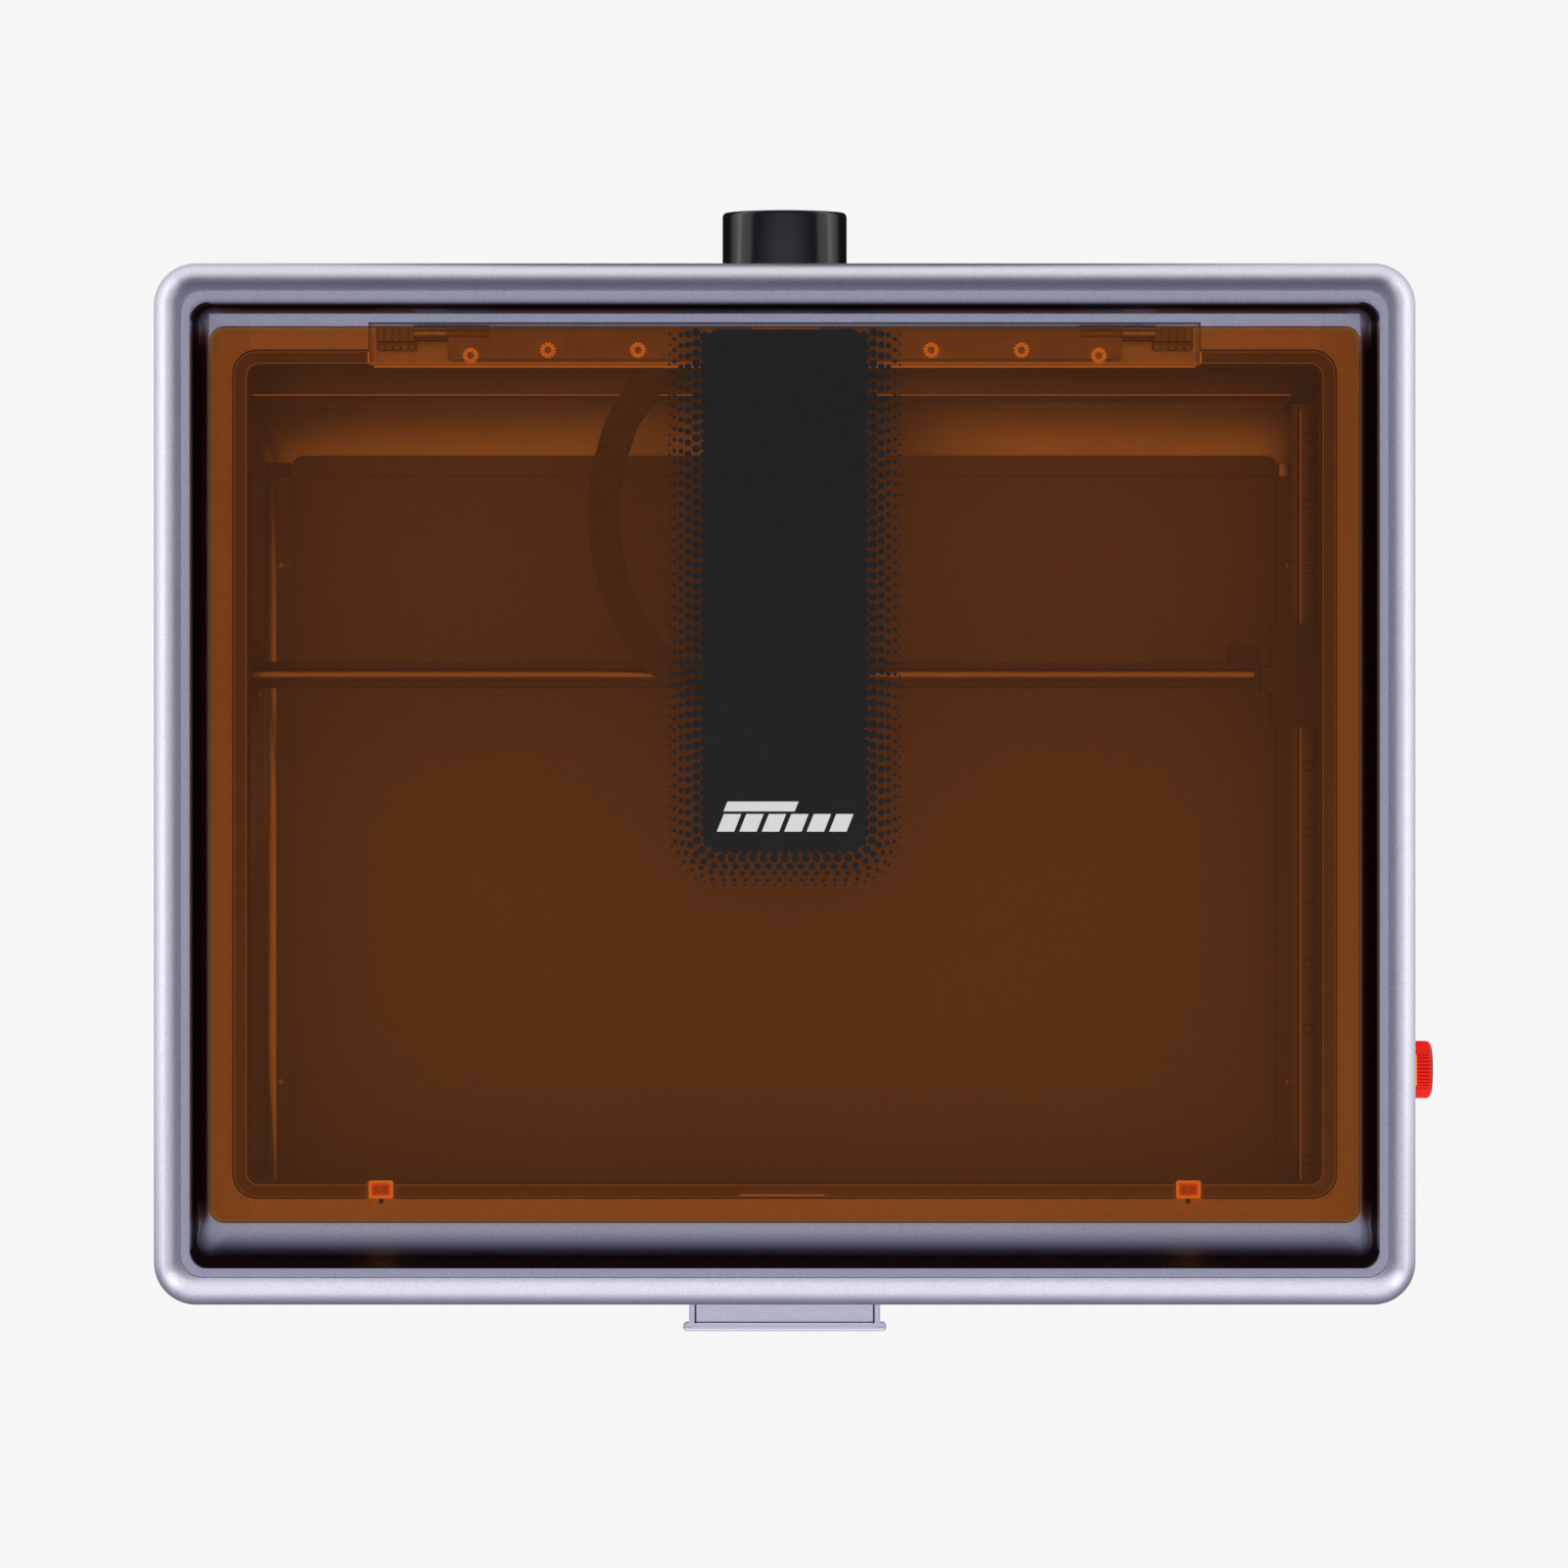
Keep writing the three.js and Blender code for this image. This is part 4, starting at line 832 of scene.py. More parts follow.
def build_gasket():
    grow = 7.3
    ring = gasket_ring
    top = GASKET.z1
    low = RECESS_FLOOR + 0.1
    loops = [
        ring(grow, low), ring(grow, top - 1.2), ring(grow - 0.5, top - 0.2), ring(grow - 1.0, top - 0.05),
        ring(grow - 1.5, top - 0.7), ring(1.5, top - 0.7), ring(1.0, top - 0.05), ring(0.5, top - 0.2),
        ring(0.0, top - 1.2), ring(0.0, low),
    ]
    seal = Build().loft(loops, closed=True).piece("seal_profile", SEAL, None, sharp=50)
    opened(seal, SEAL)
    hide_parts("lid_gasket")
    # painted highlight lines, faintly glowing, run along the raised lips, with a near-black painted shadow
    # line beside each
    for name, material, places, half in (
        ("seal_lip_glints", SEAL_EDGE, (grow - 1.0, 1.2), 0.14),
        ("seal_shadow_lines", SEAL_LINE, (grow - 0.2, 0.3), 0.24),
    ):
        lines = Build()
        for extra in places:
            inner, outer = extra - half, extra + half
            loops = [ring(inner, top - 0.1), ring(inner, top), ring(outer, top), ring(outer, top - 0.1)]
            lines.loft(loops, closed=True)
        opened(lines.piece(name, material, None), material)
    # short glowing lines at the gasket's open ends, behind the pocket and at the front middle: painted
    # highlights
    ends = Build()
    for side in (-1, 1):
        ends.box(span(side, 187.0, 187.5), (189.0, 194.6), (top - 0.6, top - 0.1))
    ends.box((-185, 185), (187.55, 188.15), (176.4, 177.0))
    ends.box((-20, 18), (-185.1, -184.8), (top - 0.1, top + 0.05))
    ends.piece("seal_end_glints", GLINT, "case")


build_gasket()


# ------------------------------------------------------------------ hinges and bracket


def star_screw(build, x, y, z, radius=3.4, height=1.4, points=10):
    """A pan head with a ring of notches and a round socket."""
    loops = []
    turns = circle(points * 6)
    for share, lift in [(1.0, 0.0), (1.0, 0.55), (0.9, 0.85), (0.62, 1.0), (0.5, 0.95)]:
        loop = []
        for angle in turns:
            notch = 1 - 0.12 * max(0.0, math.cos(points * angle)) * (1 if share > 0.7 else 0)
            reach = radius * share * notch
            loop.append((x + reach * math.cos(angle), y + reach * math.sin(angle), z + height * lift))
        loops.append(loop)
    socket = radius * 0.42
    depth = z + height * 0.35
    loops.append([(x + socket * math.cos(a), y + socket * math.sin(a), depth) for a in turns])
    build.loft(loops)


def build_hinge(name, side):
    axis = (0, HINGE_Y, HINGE_Z)
    block = span(side, 166.0, 184.0)
    lows = [166.3 + 3.5 * i for i in range(5)]
    body = Build()
    # two rows of ribs, each over a plain block
    for low in lows:
        body.box(span(side, low, low + 3.1), (199.2, 206), (164.0, 176.4))
    body.box(block, (199.6, 205.6), (164.0, 175.9))
    for low in lows:
        body.box(span(side, low, low + 3.1), (195.4, 198.6), (164.0, 170.6))
    body.box(block, (196, 199.4), (164.0, 170.0))
    body.piece(name + "_knuckle", ZINC, "case", name, bevel=0.5, sharp=40)
    tube = Build().rod(3.75, 152.1 * side, 167 * side, axis, "X", 36)
    tube.rod(4.0, 158.2 * side, 160.0 * side, axis, "X", 36)
    tube.rod(1.8, 139 * side, 167 * side, axis, "X", 24)
    tube.piece(name + "_barrel", STEEL, "case", bevel=0.3, sharp=40)
    # thin glowing lines round the hinge block: painted highlights on its edges
    edge_glints = Build()
    edge_glints.box(span(side, 184.3, 184.7), (189.5, 206.4), (175.6, 176.2))
    edge_glints.box(span(side, 150.9, 151.3), (189.5, 190.6), (175.6, 176.2))
    edge_glints.box(block, (205.9, 206.3), (175.6, 176.2))
    edge_glints.piece(name + "_edges", FAINT_GLINT, "case")


build_hinge("hinge_left", -1)
build_hinge("hinge_right", 1)


def build_bracket():
    b = Box("lid_bracket")
    plate = Build()
    plate.box((b.x0, b.x1), (191, 206), (177, 178.0))
    for side in (-1, 1):
        ends = span(side, 133.0, 151.6)
        plate.turned(
            [(1.95, ends[0]), (3.7, ends[0]), (3.7, ends[1]), (1.95, ends[1])], (0, HINGE_Y, HINGE_Z),
            "X", 36, closed=True
        )
    plate.piece("bracket_plate", ZINC, "lid", "lid_bracket", bevel=0.25, sharp=50)
    screws = Build()
    for x in (-141, -106.6, -66, 66, 106.6, 141):
        before = len(screws.verts)
        star_screw(screws, x, 194.3 if abs(x) > 140 else 196.2, 0)
        # the heads are under the lid, facing down
        for i in range(before, len(screws.verts)):
            v = screws.verts[i]
            screws.verts[i] = Vector((v.x, v.y, 177.0 - v.z))
    screws.piece("bracket_screws", STEEL, "lid", sharp=30)
    # star-shaped glowing marks over the screw heads: painted highlights seen through the lid
    star_glints = Build()
    for x in (-141.4, -106.6, -66, 66, 106.6, 141.4):
        y = 192.9 if abs(x) > 140 else 195.3
        for i in range(12):
            turn = 2 * math.pi * (i + 0.5) / 12
            points = []
            for radius, spread in ((1.7, 0.2), (3.5, 0.16), (3.5, -0.16), (1.7, -0.2)):
                points.append((x + radius * math.cos(turn + spread), y + radius * math.sin(turn + spread)))
            star_glints.prism(points, 178.1, 178.8)
    star_glints.piece("bracket_star_glints", GLINT, "lid")
    leaves = Build()
    for side in (-1, 1):
        # the leaf shows through the lid as a slotted, stepped plate
        leaves.box(span(side, 133.5, 150.8), (198.4, 205.6), (176.2, 177.0))
        leaves.box(span(side, 133.5 + 1.5, 150.8 - 4), (201.8, 202.8), (175.4, 176.4))
    leaves.piece("bracket_leaves", ZINC, "lid", bevel=0.2)
    badge = Build().box((-15, 16), (204.0, 205.7), (178.1, 178.7))
    badge.piece("bracket_badge", STEEL, "lid", bevel=0.15)


build_bracket()


def build_catch(node):
    c = Box(node)
    z1 = c.z1 - 0.15
    # the catch's frame is in a glowing orange: painted highlight on its edges
    frame_build = Build()
    outer = rounded(c.x0, c.x1, c.y0, c.y1, 0.8, None, 4)
    inner = rounded(c.x0 + 1.1, c.x1 - 1.1, c.y0 + 1.1, c.y1 - 1.1, 0.4, None, 4)
    frame_build.loft(
        [level(loop, z) for loop, z in ((outer, c.z0), (outer, z1), (inner, z1), (inner, c.z0))], closed=True
    )
    frame_build.piece(node + "_latch", GLINT, "lid", node, bevel=0.2, sharp=40)
    core = Build().box((c.x0 + 1, c.x1 - 1), (c.y0 + 1, c.y1 - 1), (c.z0, z1 - 1.6))
    for side in (-1, 1):
        core.box(
            sorted((c.x + side * 0.45, c.x + side * 3.6)), (c.y - 2.2, c.y + 2.0), (z1 - 2.0, z1 - 0.5)
        )
    core.piece(node + "_core", LATCH_RED, "lid", bevel=0.2, sharp=40)
    pin = Build().rod(1.2, RECESS_FLOOR, RECESS_FLOOR + 0.6, (c.x, -187.9, 0), "Z", 20, soft=0.2)
    pin.piece(node + "_pin", PLASTIC, "case")


build_catch("catch_left")
build_catch("catch_right")


def build_camera():
    c = Box("camera_housing")
    y = c.y
    body = Build().prism(rounded(-19, 19, y - 13, y + 13, 4, None, 8), 170, c.z1 - 0.05)
    body.turned(
        [(3.2, 170.6), (5, 170.6), (5, 168.5), (4.2, 168.1), (3.2, 168.5)], (0, y, 0), "Z", 40,
        closed=True
    )
    body.piece("camera_body", PLASTIC, "lid", "camera_housing", bevel=0.6)
    lens = Build().turned(
        [(0, 168.9), (1.2, 168.95), (2.2, 169.2), (3.15, 169.7), (3.15, 170.4), (0, 170.4)], (0, y, 0),
        "Z", 32
    )
    lens.piece("camera_lens", LENS, "lid")


build_camera()

# ------------------------------------------------------------------ tray


def build_tray():
    t = TRAY
    plate = Build()
    corner = 5.0
    crease = 230.0
    main = rounded(-crease, crease, t.y0 + 0.1, 153.3, corner, None, 8)
    plate.prism(main, 19.2, 20.9)
    for side in (-1, 1):
        xs = span(side, crease - 8, t.x1)
        plate.prism(rounded(xs[0], xs[1], t.y0 + 0.1, 144, 3.5, None, 8), 19.1, 20.8)
    plate.prism(rounded(-crease + 0.7, crease - 0.7, t.y0 + 0.4, 144, 1.2, None, 6), 20.4, 21.95)
    plate.piece("tray_sheet", DARK_SHEET, "tray", "tray_plate", bevel=0.35, sharp=50)
    screws = Build()
    for side in (-1, 1):
        for y in (102, -139.5):
            screws.turned(
                [(0.5, 20.5), (1.9, 20.5), (1.9, 21.2), (1.4, 21.5), (0.8, 21.5), (0.7, 21.1), (0, 21.1)],
                (side * 235.8, y, 0), "Z", 24
            )
    screws.piece("tray_screws", STEEL, "tray")
    ribs = Build()
    for x in (-150, 0, 150):
        ribs.box((x - 1, x + 1), (t.y0 + 2, 120), (t.z0, 19.4))
    ribs.piece("tray_ribs", DARK_SHEET, "tray", bevel=0.2)


build_tray()


def build_handle():
    h = HANDLE
    face = SHELL.y0
    reach = h.y0
    half = 44.6
    lip = 47.4
    panel = Build().prism(rounded(h.x0, h.x1, face, -INNER_FACE, 0.6, None, 4), 13.2, 37.3)
    panel.piece("tray_panel", HANDLE_PAINT, "tray", "tray_handle", bevel=0.5)
    web = Build()
    web.box((-half + 0.6, half - 0.6), (reach + 3, face + 0.5), (24.0, 26.6))
    for side in (-1, 1):
        web.box(span(side, half - 2.6, half), (reach + 2, face + 0.5), (15.5, 28.2))
    web.piece("handle_web", HANDLE_PAINT, "tray", bevel=0.7, segments=3)
    # thin near-black strips on the web: painted shadow in the gaps beside the arms and before the lip
    gap_shadows = Build()
    for side in (-1, 1):
        gap_shadows.box(span(side, half - 3.4, half - 2.6), (reach + 2.5, face), (26.3, 26.75))
    gap_shadows.box((-half + 2.6, half - 2.6), (reach + 3.6, reach + 4.3), (26.3, 26.75))
    gap_shadows.piece("handle_gap_shadows", PLASTIC, "tray")
    bar = Build()
    loops = []
    for inset, z in [(1.2, 14.0), (0.35, 14.3), (0, 15.2), (0, 27.8), (0.35, 28.7), (1.2, 29.0)]:
        loops.append(
            rounded(
                -lip + inset, lip - inset, reach + inset, reach + 3.8 - inset, 1.85 - inset * 0.9, z, 8
            )
        )
    bar.loft(loops)
    bar.piece("handle_lip", HANDLE_PAINT, "tray", sharp=40)
    # the thumb rest: a shallow bead along the lip's top
    bead = Build().rod(0.55, -lip + 4, lip - 4, (0, reach + 1.9, 28.95), "X", 12, soft=0.3)
    bead.piece("handle_bead", HANDLE_PAINT, "tray")


build_handle()

# ------------------------------------------------------------------ exhaust


def build_duct():
    d = DUCT
    flange = 228.2
    tip = d.y1
    bore, outer = 26.4, 28.6
    profile = [
        (bore, d.y0), (33, d.y0), (33, flange), (outer + 0.6, flange), (outer, flange + 0.6),
        (outer, tip - 1.6),
        (outer - 0.45, tip - 0.5), (outer - 1.0, tip), (bore + 0.5, tip), (bore, tip - 0.6),
    ]
    Build().turned(profile, (0, 0, d.z), "Y", 96, closed=True).piece(
        "duct_spigot", DUCT_PLASTIC, "case", "exhaust_spigot", sharp=40
    )


build_duct()


def rotor(build, centre, hub, tip, height, blades, pitch, axis):
    """Curved blades round a domed hub."""
    start = len(build.verts)
    half = height / 2
    build.turned(
        [(1.8, -half), (hub, -half), (hub, half - 1), (hub - 1, half), (2.6, half), (1.8, half - 0.6)],
        (0, 0, 0), "Z", 48, closed=True,
    )
    rows, across = 7, 6
    for blade in range(blades):
        turn = 2 * math.pi * blade / blades
        upper, lower = [], []
        for i in range(rows):
            share = i / (rows - 1)
            radius = hub - 0.8 + (tip - hub + 0.8) * share
            for j in range(across):
                chord = j / (across - 1) - 0.5
                width = math.radians(360 / blades * 0.8)
                lead = math.radians(pitch * 0.5) * share
                angle = turn + chord * width + lead
                lift = -chord * (height - 2.6) + 0.9 * math.sin(math.pi * (chord + 0.5))
                x, y = radius * math.cos(angle), radius * math.sin(angle)
                upper.append((x, y, lift + 0.45))
                lower.append((x, y, lift - 0.45))
        verts = upper + lower
        count = rows * across
        faces = []
        for i in range(rows - 1):
            for j in range(across - 1):
                a = i * across + j
                faces.append((a, a + 1, a + across + 1, a + across))
                faces.append((count + a, count + a + across, count + a + across + 1, count + a + 1))
        edge = list(range(across))
        edge += [i * across + across - 1 for i in range(1, rows)]
        edge += [(rows - 1) * across + j for j in range(across - 2, -1, -1)]
        edge += [i * across for i in range(rows - 2, 0, -1)]
        for a, b in zip(edge, edge[1:] + edge[:1]):
            faces.append((a, count + a, count + b, b))
        build.add(verts, faces)
    for i in range(start, len(build.verts)):
        build.verts[i] = Vector(turned_to(build.verts[i], axis, centre))


def build_fans():
    r = Box("exhaust_rotor")
    big = Build()
    rotor(big, (r.x, r.y, r.z), 11, 29.2, 12, 7, 38, "Y")
    big.piece("exhaust_blades", PLASTIC, "exhaust_fan", "exhaust_rotor", sharp=40)
    r = Box("head_fan_rotor")
    small = Build()
    rotor(small, (r.x, r.y, r.z), 7, 17.8, 8, 7, 36, "Z")
    small.piece("head_blades", PLASTIC, "head_fan", "head_fan_rotor", sharp=40)


build_fans()

# ------------------------------------------------------------------ controls


def build_estop():
    y, z = CAP.y, CAP.z
    skirt, tip, radius = CAP.x0, CAP.x1, (CAP.z1 - CAP.z0) / 2
    steps = 240
    ribs = 48

    def loop(r, x, depth):
        points = []
        for angle in circle(steps):
            wave = 0.5 + 0.5 * math.cos(ribs * angle)
            here = r - depth * (1 - wave) ** 1.5
            points.append((x, y + here * math.cos(angle), z + here * math.sin(angle)))
        return points

    profile = [
        (11.4, 290.2, 0), (11.4, skirt + 0.2, 0), (11.8, skirt, 0), (radius - 0.3, skirt, 0.5),
        (radius, skirt + 0.4, 0.8),
        (radius, skirt + 2.2, 0.9), (radius, tip - 2.9, 0.8), (radius - 0.25, tip - 2.0, 0.5),
        (radius - 0.8, tip - 1.3, 0.2),
        (radius - 1.9, tip - 0.75, 0), (radius - 3.4, tip - 0.42, 0), (radius / 2, tip - 0.12, 0),
        (2, tip, 0),
    ]
    cap = Build().loft([loop(r, x, d) for r, x, d in profile]).piece(
        "stop_cap", RED, "stop_cap", "estop_cap", sharp=50
    )
    # painted shade: the grooves between the ribs, and the turned-over outer end, get a darker red
    cap.data.materials.append(RED_SHADE)
    middle = at(0, y, z)
    for polygon in cap.data.polygons:
        away = (polygon.center - middle).yz.length / MM
        outward = (polygon.center.x - CENTRE.x) / MM
        in_groove = away < radius - 0.55 and skirt + 0.5 < outward < tip - 1.8
        at_end = outward > tip - 1.5 and away > radius - 3.2
        if in_groove or at_end:
            polygon.material_index = 1
    # two raised arrows in a ring show which way it turns
    arrows = Build()
    for turn in (0, 180):
        points = []
        for angle in arc(turn + 20, turn + 120, 16):
            points.append((8.2 * math.cos(angle), 8.2 * math.sin(angle)))
        for angle in arc(turn + 120, turn + 20, 16):
            points.append((6.6 * math.cos(angle), 6.6 * math.sin(angle)))
        before = len(arrows.verts)
        arrows.prism(points, 0, 0.28)
        head = math.radians(turn + 120)
        ahead = math.radians(turn + 138)
        arrows.prism(
            [
                (9.4 * math.cos(head), 9.4 * math.sin(head)),
                (7.4 * math.cos(ahead), 7.4 * math.sin(ahead)),
                (5.4 * math.cos(head), 5.4 * math.sin(head))
            ],
            0, 0.28,
        )
        for i in range(before, len(arrows.verts)):
            v = arrows.verts[i]
            arrows.verts[i] = Vector((tip - 0.42 + v.z, y + v.x, z + v.y))
    arrows.piece("stop_arrows", PALE_MARK, "stop_cap")
    c = COLLAR
    profile = [
        (5.3, c.x0), (10.8, c.x0), (10.8, c.x0 + 4), (14, c.x0 + 4), (14, 277.7), (10.8, 277.7),
        (10.8, 285.2), (10.2, c.x1), (5.3, c.x1),
    ]
    Build().turned(profile, (0, y, z), "X", 64, closed=True).piece(
        "stop_collar", YELLOW, "case", "estop_collar", sharp=40
    )
    # a raised orange arc on top of the cap glows strongly: painted light
    arc_build = Build()
    loops = []
    for x, low, high in (
        (HALF_X + 1.5, radius - 1.0, radius + 0.1), (HALF_X + 1.75, radius - 1.0, radius + 0.3),
        (HALF_X + 3.3, radius - 1.0, radius + 0.3), (HALF_X + 3.55, radius - 1.0, radius + 0.1)
    ):
        points = [(x, y + high * math.cos(a), z + high * math.sin(a)) for a in arc(58, 122, 24)]
        points += [(x, y + low * math.cos(a), z + low * math.sin(a)) for a in arc(122, 58, 24)]
        loops.append(points)
    arc_build.loft(loops)
    arc_build.piece("stop_index", ORANGE_RING, "stop_cap", sharp=40)
    s = STEM
    profile = [
        (0, s.x0), (7.7, s.x0), (8, s.x0 + 0.3), (8, 267.2), (7.7, 267.5), (5, 267.8), (5, s.x1 - 0.3),
        (4.7, s.x1), (0, s.x1)
    ]
    Build().turned(profile, (0, y, z), "X", 40).piece(
        "stop_stem", PLASTIC, "stop_stem", "estop_stem", sharp=40
    )


build_estop()


def build_start_button():
    b = Box("start_button")
    y0 = b.y0
    r = 8.8
    profile = [
        (0, y0 + 0.5), (4.5, y0 + 0.4), (6.9, y0 + 0.1), (7.6, y0), (r - 0.5, y0 + 0.1), (r, y0 + 0.6),
        (r, -INNER_FACE), (11.5, -INNER_FACE), (11.5, -225.5), (0, -225.5),
    ]
    Build().turned(profile, (b.x, 0, b.z), "Y", 64).piece(
        "start_cap", PLASTIC, "start_key", "start_button", sharp=40
    )
    mark = Build().turned(
        [(2.2, y0 + 0.35), (2.9, y0 + 0.35), (2.9, y0 + 0.6), (2.2, y0 + 0.6)], (b.x, 0, b.z), "Y", 40,
        closed=True
    )
    mark.box((b.x - 0.4, b.x + 0.4), (y0 + 0.3, y0 + 0.6), (b.z + 1.2, b.z + 3.9))
    mark.piece("start_mark", PALE_MARK, "start_key")


build_start_button()


def build_inlet():
    b = Box("power_inlet")
    profile = [
        (0, 220), (9, 220), (9, INNER_FACE), (6.2, INNER_FACE), (6.2, 232.2), (5.8, 232.6), (3.6, 232.6),
        (3.2, 232.2), (3.2, 223), (0, 223)
    ]
    Build().turned(profile, (b.x, 0, b.z), "Y", 48).piece(
        "inlet_body", PLASTIC, "case", "power_inlet", sharp=40
    )
    pin = Build().rod(0.95, 222.5, 231.6, (b.x, 0, b.z), "Y", 20, soft=0.3)
    pin.piece("inlet_pin", STEEL, "case")


build_inlet()


def build_feet():
    for place in ("front_left", "front_right", "rear_left", "rear_right"):
        b = Box("foot_" + place)
        r = (b.x1 - b.x0) / 2
        profile = [
            (0, 0.6), (r - 3.5, 0.6), (r - 3, 0), (r - 1.5, 0), (r - 0.4, 0.7), (r, 2), (r, 6.4),
            (r - 0.4, 6.9), (r, 7.4), (r, 8), (0, 8)
        ]
        Build().turned(profile, (b.x, b.y, 0), "Z", 56).piece(
            "foot_pad_" + place, FOOT, "case", "foot_" + place, sharp=40
        )


build_feet()

# ------------------------------------------------------------------ inside the case


def dressed(node, material, bevel=0.3, sharp=35, segments=2):
    """Show a CAD node as it is, with welded vertices, softened edges and a finish."""
    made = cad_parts[node]
    weld = made.modifiers.new("weld", "WELD")
    weld.merge_threshold = 0.00002
    edge = made.modifiers.new("soft_edges", "BEVEL")
    edge.width = bevel * MM
    edge.segments = segments
    edge.limit_method = "ANGLE"
    edge.angle_limit = math.radians(sharp)
    edge.harden_normals = True
    made.data.materials.clear()
    made.data.materials.append(material)
    for polygon in made.data.polygons:
        polygon.use_smooth = True
    return made


dressed("base_plate", FLOOR_SHEET)
dressed("rail_shelf_left", ALUMINIUM)
dressed("rail_shelf_right", BAY_SHEET)
dressed("rear_bay_cover", BAY_SHEET, 0.5)
COVER = Box("rear_bay_cover")
# a thin glowing rod along the cover's top front edge: painted highlight
cover_glint = Build().rod(0.4, COVER.x0 + 3, COVER.x1 - 3, (0, COVER.y0 + 0.6, COVER.z1 + 0.05), "X", 10)
cover_glint.piece("cover_glint", FAINT_GLINT, "case")
dressed("right_bay_wall", BAY_SHEET)
dressed("exhaust_fan_frame", PLASTIC, 0.4)
dressed("motor_left", MOTOR, 0.4)
dressed("motor_right", MOTOR, 0.4)
dressed("control_board", BOARD, 0.15)
dressed("power_rocker", PLASTIC, 0.4)
dressed("carriage_left", CARRIAGE, 0.5)
dressed("carriage_right", CARRIAGE, 0.5)
dressed("x_limit_switch", CARRIAGE, 0.3)
dressed("head_carriage", PLASTIC, 0.4)
dressed("laser_module", ALUMINIUM, 0.4)
dressed("x_beam", BEAM_SHEET, 0.4)


def build_rail(node, name, material, body):
    """A round-shouldered rail along its longer side."""
    b = Box(node)
    along_y = (b.y1 - b.y0) > (b.x1 - b.x0)
    half = ((b.x1 - b.x0) if along_y else (b.y1 - b.y0)) / 2
    height = b.z1 - b.z0
    waist = half - 0.9
    outline = [
        (half, 0), (half, height * 0.32), (waist, height * 0.42), (waist, height * 0.55),
        (half, height * 0.66),
        (half, height * 0.86), (half - 0.35, height * 0.95), (half - 0.9, height),
    ]
    outline = outline + [(-x, z) for x, z in reversed(outline)]
    ends = (b.y0, b.y1) if along_y else (b.x0, b.x1)
    loops = []
    for end in ends:
        if along_y:
            loops.append([(b.x + x, end, b.z0 + z) for x, z in outline])
        else:
            loops.append([(end, b.y - x, b.z0 + z) for x, z in outline])
    made = Build().loft(loops)
    made.piece(name, material, body, node, sharp=50)
    holes = Build()
    if along_y:
        y = b.y0 + 12
        while y < b.y1 - 6:
            holes.turned(
                [
                    (1.1, b.z1 - 0.6), (2.2, b.z1 - 0.6), (2.35, b.z1 + 0.03), (2.1, b.z1 + 0.05),
                    (1.1, b.z1 - 0.35)
                ],
                (b.x, y, 0), "Z", 20, closed=True
            )
            y += 30
        holes.piece(name + "_screws", MOTOR, body)
        # a thin glowing rod along the rail's top edge: painted highlight
        edge = Build().rod(0.35, b.y0 + 1, b.y1 - 1, (b.x0 + 1.1, 0, b.z1 - 0.05), "Y", 10)
        edge.piece(name + "_edge", FAINT_GLINT, body)


build_rail("y_rail_left", "left_rail", BAY_SHEET, "case")
build_rail("y_rail_right", "right_rail", BAY_SHEET, "case")


def build_x_rail():
    b = Box("x_rail")
    half = (b.y1 - b.y0) / 2
    outline = [(half, 0), (half, 1.2), (half - 0.5, 1.6), (half - 0.5, 2.2), (half, 2.6)]
    for angle in arc(0, 90, 7):
        outline.append((half - 2.2 + 2.2 * math.cos(angle), 2.8 + (b.z1 - b.z0 - 2.8) * math.sin(angle)))
    outline = outline + [(-x, z) for x, z in reversed(outline)]
    loops = [[(end, b.y - y, b.z0 + z) for y, z in outline] for end in (b.x0, b.x1)]
    Build().loft(loops).piece("cross_rail", STEEL, "gantry", "x_rail", sharp=60)


build_x_rail()


def build_pulley(node, body, material, teeth=16):
    b = Box(node)
    flange, seat, bore = 7.0, 4.1, 2.7
    low, high = b.z0, b.z1
    made = Build()
    made.turned(
        [
            (bore, low), (flange - 0.3, low), (flange, low + 0.4), (flange - 0.2, low + 0.95),
            (bore, low + 0.95)
        ],
        (b.x, b.y, 0), "Z", 48, closed=True
    )
    made.turned(
        [
            (bore, high - 0.95), (flange - 0.2, high - 0.95), (flange, high - 0.4), (flange - 0.3, high),
            (bore, high)
        ],
        (b.x, b.y, 0), "Z", 48, closed=True
    )
    ring = []
    for i in range(teeth * 4):
        angle = 2 * math.pi * i / (teeth * 4)
        radius = seat if i % 4 in (0, 1) else seat - 0.6
        ring.append((b.x + radius * math.cos(angle), b.y + radius * math.sin(angle)))
    inner = [(b.x + bore * math.cos(a), b.y + bore * math.sin(a)) for a in circle(teeth * 4)]
    loops = [
        level(outline, z) for outline,
        z in ((ring, low + 0.9), (ring, high - 0.9), (inner, high - 0.9), (inner, low + 0.9))
    ]
    made.loft(loops, closed=True)
    made.piece(node + "_wheel", material, body, node, sharp=30)


PULLEYS = {
    "motor_pulley_left": "left_motor_pulley",
    "motor_pulley_right": "right_motor_pulley",
    "front_pulley_left": "left_front_pulley",
    "front_pulley_right": "right_front_pulley",
    "idler_left_front": "left_front_idler",
    "idler_left_rear": "left_rear_idler",
    "idler_right_front": "right_front_idler",
    "idler_right_rear": "right_rear_idler",
}
for node, body in PULLEYS.items():
    build_pulley(node, body, ALUMINIUM if "motor" in node else STEEL)


